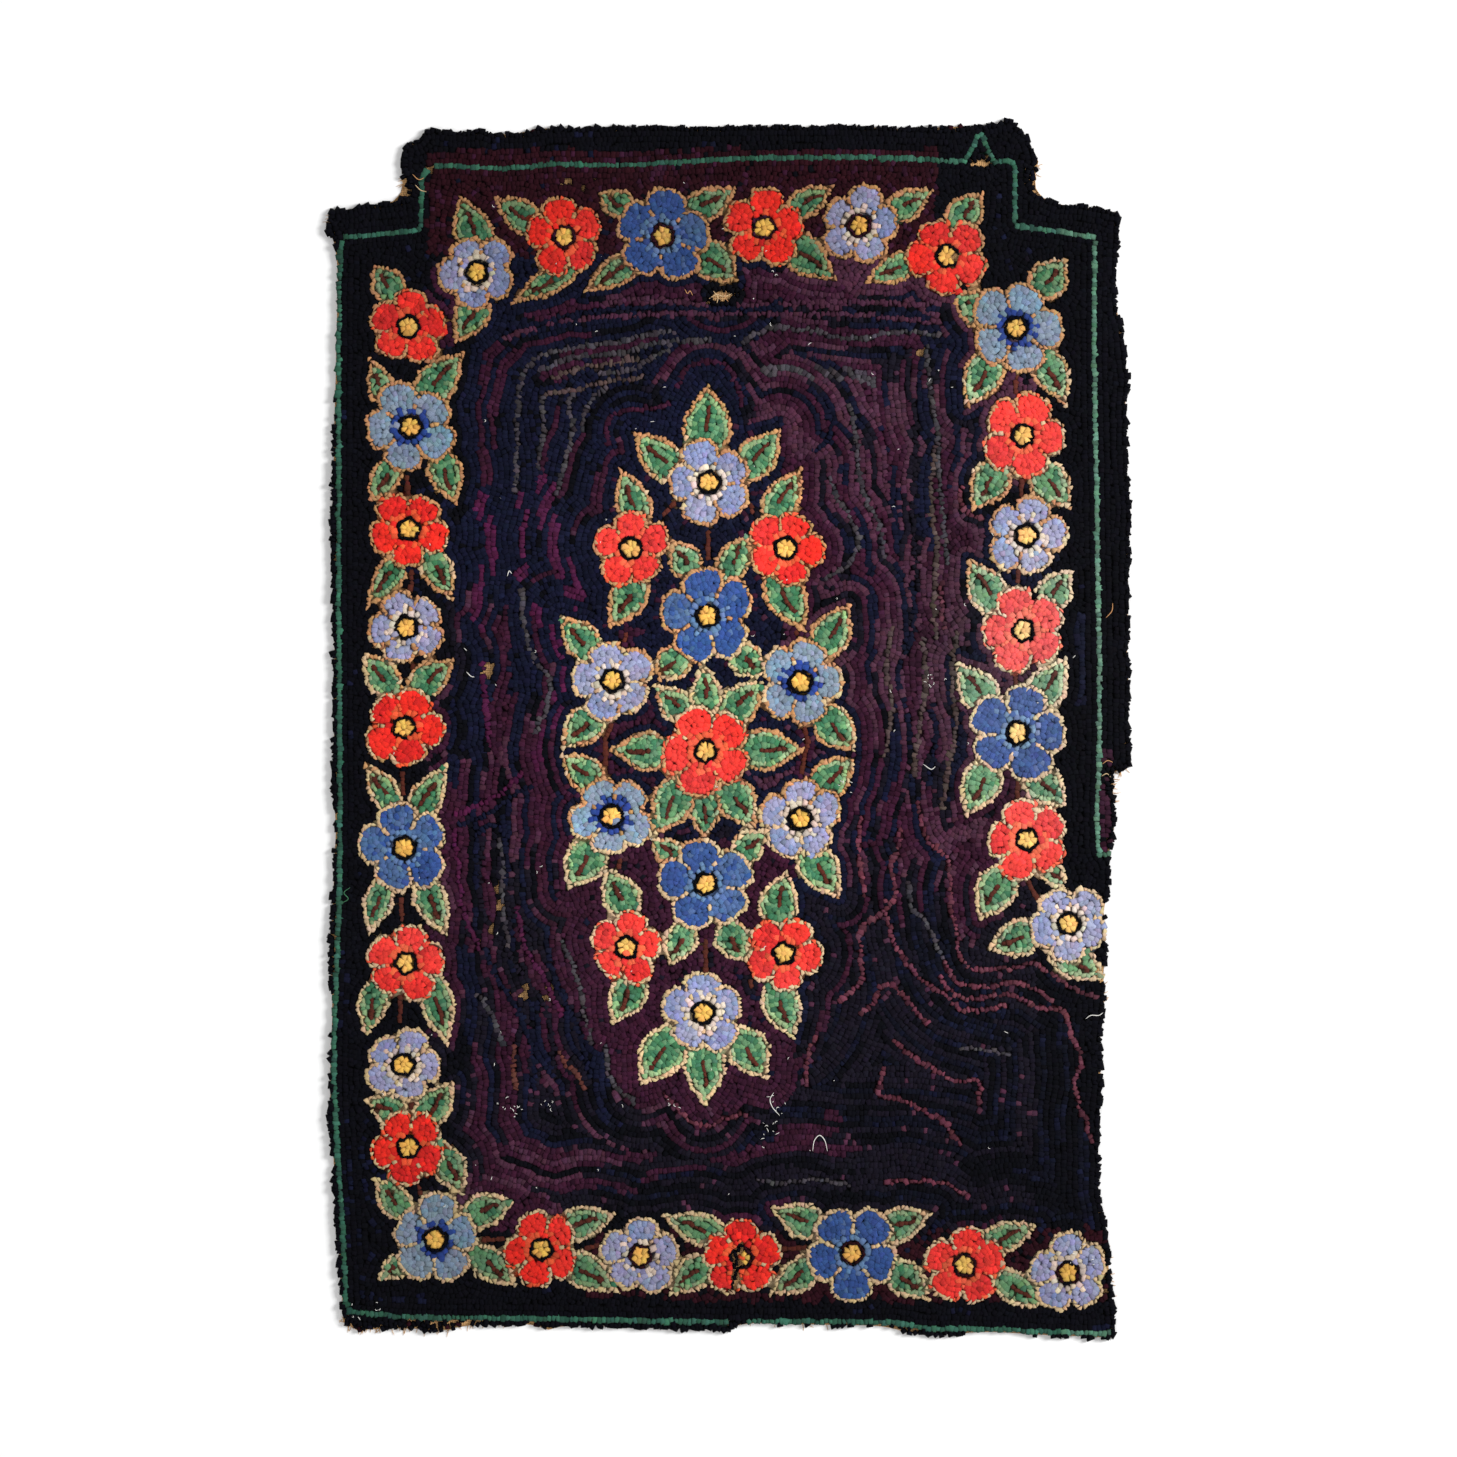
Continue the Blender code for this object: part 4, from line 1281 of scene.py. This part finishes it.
def loop_mesh(loops, colours, painted_rim_shades, shoulders):
    """Verts, faces, colours darkened at each loop's rim as painted shade, and strip coordinates of
    many loops as one mesh.
    """
    count = len(loops.places)
    places = loops.places + RANDOM.normal(0, 0.42, (count, 2))
    turn = (loops.turns + RANDOM.normal(0, 0.2, count))[:, None]
    size = 1 + RANDOM.normal(0, 0.07, count)
    half_u = (loops.lengths * size / 2)[:, None]
    half_v = (loops.widths * size * (1 + RANDOM.normal(0, 0.07, count)) / 2)[:, None]
    lift = NARROW_LIFT * np.maximum(0, LOOP_WIDTH - loops.widths)
    top = (pile_top(loops.places) + lift + RANDOM.normal(0, 0.35, count))[:, None]
    open_side = at_points(EDGE_GAP, loops.places)[:, None] < 5.5
    shoulder = RANDOM.uniform(*shoulders, (count, 1))
    foot = np.where(open_side, BURLAP_TOP + 0.2, top - shoulder)
    tilt_u, tilt_v = RANDOM.normal(0, 0.1, (2, count, 1))
    lean_u, lean_v = RANDOM.normal(0, 0.35, (2, count, 1))
    pull = np.where(TEMPLATE_CORNER, RANDOM.uniform(*CORNER_PULLS, (count, 16)), 1.0)
    inner = ~TEMPLATE_RIM
    taper = loops.tapers[:, None] + RANDOM.normal(0, 0.14, (count, 1))
    pull = pull * (1 - clipped(-TEMPLATE_V * taper, -0.3, 0.8))
    u = TEMPLATE_U * pull * half_u + np.where(inner, lean_u, 0)
    v = TEMPLATE_V * half_v + np.where(inner, lean_v, 0)
    slope = u * tilt_u + v * tilt_v + RANDOM.normal(0, 0.14, u.shape)
    z = np.where(TEMPLATE_RIM, foot, top + slope)
    x = places[:, :1] + u * np.cos(turn) - v * np.sin(turn)
    y = places[:, 1:] + u * np.sin(turn) + v * np.cos(turn)
    verts = np.stack([x, y, z], axis=2).reshape(-1, 3)
    faces = (TEMPLATE_FACES[None] + 16 * np.arange(count)[:, None, None]).reshape(-1, 4)
    # Painted shade: the rim vertices' colour is darkened to stand for the shade between neighbouring
    # loops
    shade = np.where(TEMPLATE_RIM, RANDOM.uniform(*painted_rim_shades, (count, 1)), 1.0)
    tints = (colours[:, None, :] * shade[:, :, None]).reshape(-1, 3)
    strips = np.stack([u, v, np.repeat(RANDOM.uniform(0, 400, count)[:, None], 16, 1)], axis=2)
    return verts, faces.tolist(), tints, strips.reshape(-1, 3)


LOOPS_A_PIECE = 10800
PIECE_YARNS = {
    "pile_black": "black", "pile_navy": "navy ink", "pile_plum": "plum magenta rose rust",
    "pile_charcoal": "charcoal grey taupe", "pile_maroon": "maroon wine",
}
GROUND_PIECES = {yarn: piece for piece, yarns in PIECE_YARNS.items() for yarn in yarns.split()}


def pile_pieces(loops, yarns, colours):
    """The pile, one joined mesh for each wool."""
    looks = {
        "wool_ground": wool_material("ground_wool", 0.5, 0.01),
        "wool_green": wool_material("green_wool", 0.55, 0.08),
        "wool_tan": wool_material("tan_wool", 0.55, 0.08),
        "wool_red": wool_material("red_wool", 0.55, 0.08),
        "wool_blue": wool_material("blue_wool", 0.55, 0.08),
        "wool_yellow": wool_material("yellow_wool", 0.55, 0.08),
        "wool_brown": wool_material("brown_wool", 0.55, 0.05),
    }
    slots = np.array([YARN_SLOTS[y] for y in yarns])
    names = np.array([GROUND_PIECES.get(y, YARN_SLOTS[y].replace("wool", "pile")) for y in yarns])
    pieces = []
    for name in sorted(set(names)):
        spots = np.nonzero(names == name)[0]
        for part, first in enumerate(range(0, len(spots), LOOPS_A_PIECE)):
            chosen = spots[first:first + LOOPS_A_PIECE]
            slot = slots[chosen[0]]
            ground = slot == "wool_ground"
            verts, faces, tints, strips = loop_mesh(
                chosen_loops(loops, chosen), colours[chosen],
                GROUND_PAINTED_RIM_SHADES if ground else MOTIF_PAINTED_RIM_SHADES,
                GROUND_SHOULDERS if ground else MOTIF_SHOULDERS,
            )
            label = name if part == 0 else f"{name}_{part + 1}"
            piece = new_piece(label, verts, faces, looks[slot], tints, strips)
            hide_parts("pile")
            pieces.append(piece)
    return pieces


def burlap_sheet(material):
    """The burlap, a millimetre thick, in the outline of the CAD foundation."""
    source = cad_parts["foundation"].data
    keys, verts, faces = {}, [], []
    for face in source.polygons:
        corners = []
        for index in face.vertices:
            x, y, z = source.vertices[index].co
            spot = (round(x / MM, 3), round(y / MM, 3), BURLAP_TOP if z > MM else BURLAP_UNDER)
            if spot not in keys:
                keys[spot] = len(verts)
                verts.append(spot)
            corners.append(keys[spot])
        faces.append(corners)
    return new_piece("burlap", np.array(verts), faces, material, smooth=False)


def renumbered(faces):
    """The vertices that some face uses, and the faces counted by those alone."""
    used = sorted({i for face in faces for i in face})
    renumber = {old: new for new, old in enumerate(used)}
    return used, [tuple(renumber[i] for i in face) for face in faces]


GRID_STEP = 9
FEET_HEIGHT = 2.2


def under_pile(loops, colours, material):
    """Wool packed between the loops' feet, so that no burlap shows between them, its colour darkened
    as painted shade in the pits between loops.
    """
    columns = np.arange(0, COLUMNS, GRID_STEP)
    lines = np.arange(0, LINES, GRID_STEP)
    cx, cy = np.meshgrid(columns, lines)
    places = np.column_stack([cx.ravel(), cy.ravel()]) + LOW
    within = (at_points(EDGE_GAP, places) > 3.2) & ~bare(places, GRID_STEP)
    _, near = nearest_sample(loops.places)
    nearest = at_points(near, places)
    ground = loops.yarns[nearest] == "ground"
    # Painted shade: the packed wool takes the nearest loop's colour darkened, most under the ground's
    # loops, for the shade in the pits between loops
    tints = colours[nearest] * np.where(ground, GROUND_PAINTED_RIM_SHADES[1], 0.7)[:, None]
    faces = []
    across = len(columns)
    for r in range(len(lines) - 1):
        for c in range(across - 1):
            face = (r * across + c, r * across + c + 1, (r + 1) * across + c + 1,
                    (r + 1) * across + c)
            if all(within[i] for i in face):
                faces.append(face)
    used, faces = renumbered(faces)
    verts = np.column_stack([places[used], np.full(len(used), BURLAP_TOP + FEET_HEIGHT)])
    piece = new_piece("pile_feet", verts, faces, material, tints[used],
                      verts.copy())
    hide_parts("pile")
    return piece


def bare(places, margin=0.0):
    """Which places lie within a spot where the loops are worn away."""
    found = np.zeros(len(places), bool)
    for spot in BARE_SPOTS:
        away = places - to_frame([spot[:2]])
        half = np.array([spot.half_width, spot.half_height]) + margin
        found |= ((away / half) ** 2).sum(axis=1) < 1
    return found


# Half the length and half the width of a strip's flat run on the underside
BACK_RUN = (STITCH * 0.47, 2.8)


def back_stitches(loops, colours, keep, material):
    """The strips' flat runs on the underside, one for each loop."""
    places, turns = loops.places[keep], loops.turns[keep]
    count = len(places)
    half_u = BACK_RUN[0] * (1 + RANDOM.normal(0, 0.05, count))
    half_v = BACK_RUN[1] * (1 + RANDOM.normal(0, 0.08, count))
    u = np.array([-1, 0, 1, -1, 0, 1])[None] * half_u[:, None]
    v = np.array([-1, -1, -1, 1, 1, 1])[None] * half_v[:, None]
    turns = turns + RANDOM.normal(0, 0.08, count)
    x = places[:, :1] + u * np.cos(turns)[:, None] - v * np.sin(turns)[:, None]
    y = places[:, 1:] + u * np.sin(turns)[:, None] + v * np.cos(turns)[:, None]
    z = np.where(np.array([0, 1, 0, 0, 1, 0])[None] == 1, 0.3, 0.95)
    z = z + RANDOM.uniform(-0.12, 0.04, (count, 1))
    verts = np.stack([x, y, z], axis=2).reshape(-1, 3)
    base = np.array([(0, 3, 4, 1), (1, 4, 5, 2)])
    faces = (base[None] + 6 * np.arange(count)[:, None, None]).reshape(-1, 4).tolist()
    # The runs are a fifth darker than their loops; their ends, where they go up into the burlap, are
    # darkened further as painted shade
    tints = np.repeat(colours[keep] * 0.8, 6, axis=0)
    shade = np.tile(np.array([0.45, 1.0, 0.45, 0.45, 1.0, 0.45]), count)[:, None]
    strips = np.stack([u, v, np.repeat(RANDOM.uniform(0, 400, count)[:, None], 6, 1)], axis=2)
    piece = new_piece("back_stitches", verts, faces, material, tints * shade,
                      strips.reshape(-1, 3))
    return piece


HEM_STEP = 7
HEM_WIDTH = 24
HEM_FOLD = ((0.4, 1.7), (-0.4, 1.1), (0.3, 0.6), (3.0, 0.46), (12.0, 0.44))
HEM_RAW_EDGE = (0.48, 0.96)
STITCH_INSET = 19
FRAY_STEP = 1.5
TORN_SIDE = (385, -8)


def torn(places):
    """Which places are on the side that is torn back, where no hem is left."""
    table = places + TABLE_MIDDLE
    return (table[:, 0] > TORN_SIDE[0]) & (table[:, 1] < TORN_SIDE[1])


def rim_steps(step, passes):
    """Even places along the burlap's edge and the direction inward at each."""
    places, turns = even_steps(softened(BURLAP_RIM, True, passes), step, closed=True)
    following = np.roll(BURLAP_RIM, -1, axis=0)
    area = (BURLAP_RIM[:, 0] * following[:, 1] - BURLAP_RIM[:, 1] * following[:, 0]).sum()
    left = np.column_stack([-np.sin(turns), np.cos(turns)]) * np.sign(area)
    for _ in range(3):
        left = (np.roll(left, 1, axis=0) + left + np.roll(left, -1, axis=0)) / 3
    return places, left / np.linalg.norm(left, axis=1)[:, None]


def hem(material):
    """The burlap's edge turned under, with its raw edge held down by running stitches."""
    places, inward = rim_steps(HEM_STEP, 2)
    width = HEM_WIDTH + 1.6 * drift(places, 40, 6.0) + RANDOM.normal(0, 0.5, len(places))
    rings = [np.column_stack([places + inward * inset, np.full(len(places), height)])
             for inset, height in HEM_FOLD]
    for height in HEM_RAW_EDGE:
        rings.append(np.column_stack([places + inward * width[:, None],
                                      np.full(len(places), height)]))
    count, turned = len(rings), ~torn(places)
    verts = np.stack(rings, axis=1).reshape(-1, 3)
    faces = []
    for a in range(len(places)):
        b = (a + 1) % len(places)
        if turned[a] and turned[b]:
            for k in range(count - 1):
                faces.append((a * count + k, b * count + k, b * count + k + 1, a * count + k + 1))
    used, faces = renumbered(faces)
    piece = new_piece("hem", verts[used], faces, material)
    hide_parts("foundation")
    return piece


def tubes(paths, radius, sides=4):
    """Verts and faces of thin threads along paths, drawn in at their ends."""
    verts, faces = [], []
    for path in paths:
        path = np.asarray(path, float)
        ahead = np.gradient(path, axis=0)
        side = np.cross(ahead, (0.0, 0.0, 1.0)) + (1e-6, 0, 0)
        side /= np.linalg.norm(side, axis=1)[:, None]
        lift = np.cross(side, ahead)
        lift /= np.linalg.norm(lift, axis=1)[:, None] + 1e-9
        thick = radius * np.sqrt(np.sin(np.linspace(0.2, math.pi - 0.2, len(path))))[:, None]
        first = len(verts)
        rings = [path + thick * (math.cos(a) * side + math.sin(a) * lift)
                 for a in np.arange(sides) * 2 * math.pi / sides]
        verts.extend(np.stack(rings, axis=1).reshape(-1, 3))
        for k in range(len(path) - 1):
            for s in range(sides):
                a, b = first + k * sides + s, first + k * sides + (s + 1) % sides
                faces.append((a, b, b + sides, a + sides))
        faces.append(tuple(first + s for s in reversed(range(sides))))
        faces.append(tuple(first + (len(path) - 1) * sides + s for s in range(sides)))
    return np.array(verts), faces


def thread_piece(name, paths, radius, material, yarn):
    """Many thin threads as one mesh."""
    verts, faces = tubes(paths, radius)
    tints = np.tile(linear(yarn), (len(verts), 1)) * RANDOM.uniform(0.8, 1.1, (len(verts), 1))
    return new_piece(name, verts, faces, material, tints, verts.copy())


def hem_stitches(material):
    """Running stitches through the hem, seen on the underside."""
    places, inward = rim_steps(11, 4)
    ahead = np.column_stack([inward[:, 1], -inward[:, 0]])
    paths = []
    for place, within, along in zip(places, inward, ahead):
        middle = place + within * (STITCH_INSET + RANDOM.normal(0, 0.7))
        if not torn(middle[None])[0]:
            reach = RANDOM.uniform(2.2, 3.2)
            slant = RANDOM.normal(0, 0.25)
            path = [(*(middle + (along + within * slant) * reach * t), 0.42 + 0.3 * t * t)
                    for t in (-1, -0.4, 0.4, 1)]
            paths.append(path)
    return thread_piece("hem_stitches", paths, 0.42, material, "bisque")


def frayed_ends(material):
    """Loose ends of burlap thread along the worn stretches of the edge."""
    places, inward = rim_steps(FRAY_STEP, 0)
    paths = []
    for fray in FRAYS:
        middle = np.linalg.norm(places - to_frame([fray[:2]]), axis=1).argmin()
        reach = fray.reach / FRAY_STEP
        steps = RANDOM.uniform(-reach, reach, fray.count).astype(int)
        for index in (middle + steps) % len(places):
            lean = RANDOM.normal(0, 0.7)
            out = -inward[index]
            way = np.array([out[0] * math.cos(lean) - out[1] * math.sin(lean),
                            out[0] * math.sin(lean) + out[1] * math.cos(lean)])
            curl = np.array([-way[1], way[0]]) * RANDOM.normal(0, 0.25)
            length = RANDOM.uniform(4, 11)
            start = places[index] + inward[index] * 2
            paths.append([
                (*(start + (way + curl * t) * length * t), max(0.4, 1.6 - 1.6 * t + 0.8 * t * t))
                for t in np.linspace(0, 1, 5)
            ])
    return thread_piece("frayed_ends", paths, 0.36, material, "burlap")


def curled(start, length, height):
    """A short fibre that curls over the pile from a starting place."""
    turn = RANDOM.uniform(0, 2 * math.pi)
    bend = RANDOM.normal(0, 0.9)
    path = []
    place = np.array(start, float)
    for _ in range(4):
        path.append((*place, height + RANDOM.uniform(-0.1, 0.25)))
        place = place + np.array([math.cos(turn), math.sin(turn)]) * length / 3
        turn += bend
    return path


def loose_bits(material):
    """Lint and stray threads that lie on the pile."""
    paths = []
    for clump in LINT_CLUMPS:
        middle = to_frame([clump[:2]])[0]
        tall = 1.55 if clump.spread > 100 else 1.0
        for _ in range(clump.count):
            start = middle + RANDOM.uniform(-1, 1, 2) * clump.spread * np.array([1.0, tall])
            if at_points(EDGE_GAP, start[None])[0] > 8:
                height = pile_top(start[None])[0] + 0.45
                paths.append(curled(start, RANDOM.uniform(1.6, 5.5), height))
    pieces = [thread_piece("lint", paths, 0.42, material, "lint")]
    for index, thread in enumerate(THREADS):
        line = smooth_line(thread.points, 5)
        path = np.column_stack([line, pile_top(line) + 0.75])
        name = f"stray_thread_{index + 1}"
        pieces.append(thread_piece(name, [path], 0.55, material, thread.yarn))
    for piece in pieces:
        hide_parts("pile")
    return pieces


# Stage

PHOTO_SIDE = 1457
MM_A_PIXEL = 1.15
WORLD_LIGHT = 0.62
LAMPS = (("key", (4.9, 1.5, 4.0), 2.2, 575), ("fill", (-1.8, -1.2, 4.0), 2.6, 50))


def studio():
    """Pale floor, soft light from above and the right, and the camera straight over the rug."""
    bpy.ops.mesh.primitive_plane_add(size=12, location=(0, 0, 0))
    floor = bpy.context.object
    floor.name = "floor"
    floor.data.materials.append(floor_material())
    world = bpy.data.worlds.new("studio")
    world.use_nodes = True
    world.node_tree.nodes["Background"].inputs["Color"].default_value = (1, 1, 1, 1)
    world.node_tree.nodes["Background"].inputs["Strength"].default_value = WORLD_LIGHT
    bpy.context.scene.world = world
    bpy.context.scene.view_settings.view_transform = "Standard"
    for name, place, size, power in LAMPS:
        light = bpy.data.lights.new(name, "AREA")
        light.shape = "SQUARE"
        light.size = size
        light.energy = power
        lamp = bpy.data.objects.new(name, light)
        lamp.location = place
        lamp.rotation_euler = (-Vector(place)).to_track_quat("-Z", "Y").to_euler()
        bpy.context.scene.collection.objects.link(lamp)
    camera_data = bpy.data.cameras.new("camera")
    camera_data.lens = 85
    camera_data.sensor_width = 36
    distance = PHOTO_SIDE * MM_A_PIXEL * MM * camera_data.lens / camera_data.sensor_width
    camera = bpy.data.objects.new("camera", camera_data)
    camera.location = (-0.00014, 0.00013, distance + PILE_TOP * MM)
    bpy.context.scene.collection.objects.link(camera)
    bpy.context.scene.camera = camera


def rug():
    """All pieces of the rug."""
    guides = guide_rows()
    edges = edge_rows()
    placed, taken = thinned(guide_loops([*guides, *edges, *stripe_rows()]))
    inside = at_points(EDGE_GAP, placed.places) > 1.2
    placed = chosen_loops(placed, inside)
    filled, levels, group = fill_rows([*guides, *edges])
    filled, taken = thinned(filled, taken)
    both = together([placed, filled])
    extra = hole_loops(both, levels, group, taken)
    tufts = edge_tufts({})
    loops = together([both, extra, tufts])
    loops = chosen_loops(loops, ~bare(loops.places, 2.0))
    yarns = motif_yarns(loops)
    yarns = ground_yarns(loops, yarns)
    yarns = margin_yarns(loops, yarns)
    yarns = outline_yarns(loops, yarns)
    colours = loop_colours(loops, yarns)
    print("loops", len(loops.places), {y: int((yarns == y).sum()) for y in sorted(set(yarns))})
    pile_pieces(loops, yarns, colours)
    under_pile(loops, colours, wool_material("packed_wool", 0.4, 0.1))
    weave = burlap_material()
    burlap = burlap_sheet(weave)
    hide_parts("foundation")
    rim_gap, _ = nearest_sample(even_steps(BURLAP_RIM, 0.8, closed=True)[0])
    gap = at_points(rim_gap, loops.places)
    keep = (gap > HEM_WIDTH + 1) | ((gap > 3.0) & torn(loops.places))
    back_stitches(loops, colours, keep, wool_material("back_wool", 0.35, 0.02))
    thread = wool_material("thread", 0.3, 0.05)
    fold = hem(weave)
    sewn = [fold, hem_stitches(thread), frayed_ends(thread)]
    loose_bits(wool_material("loose_fibre", 0.2, 0.05))


rug()
studio()
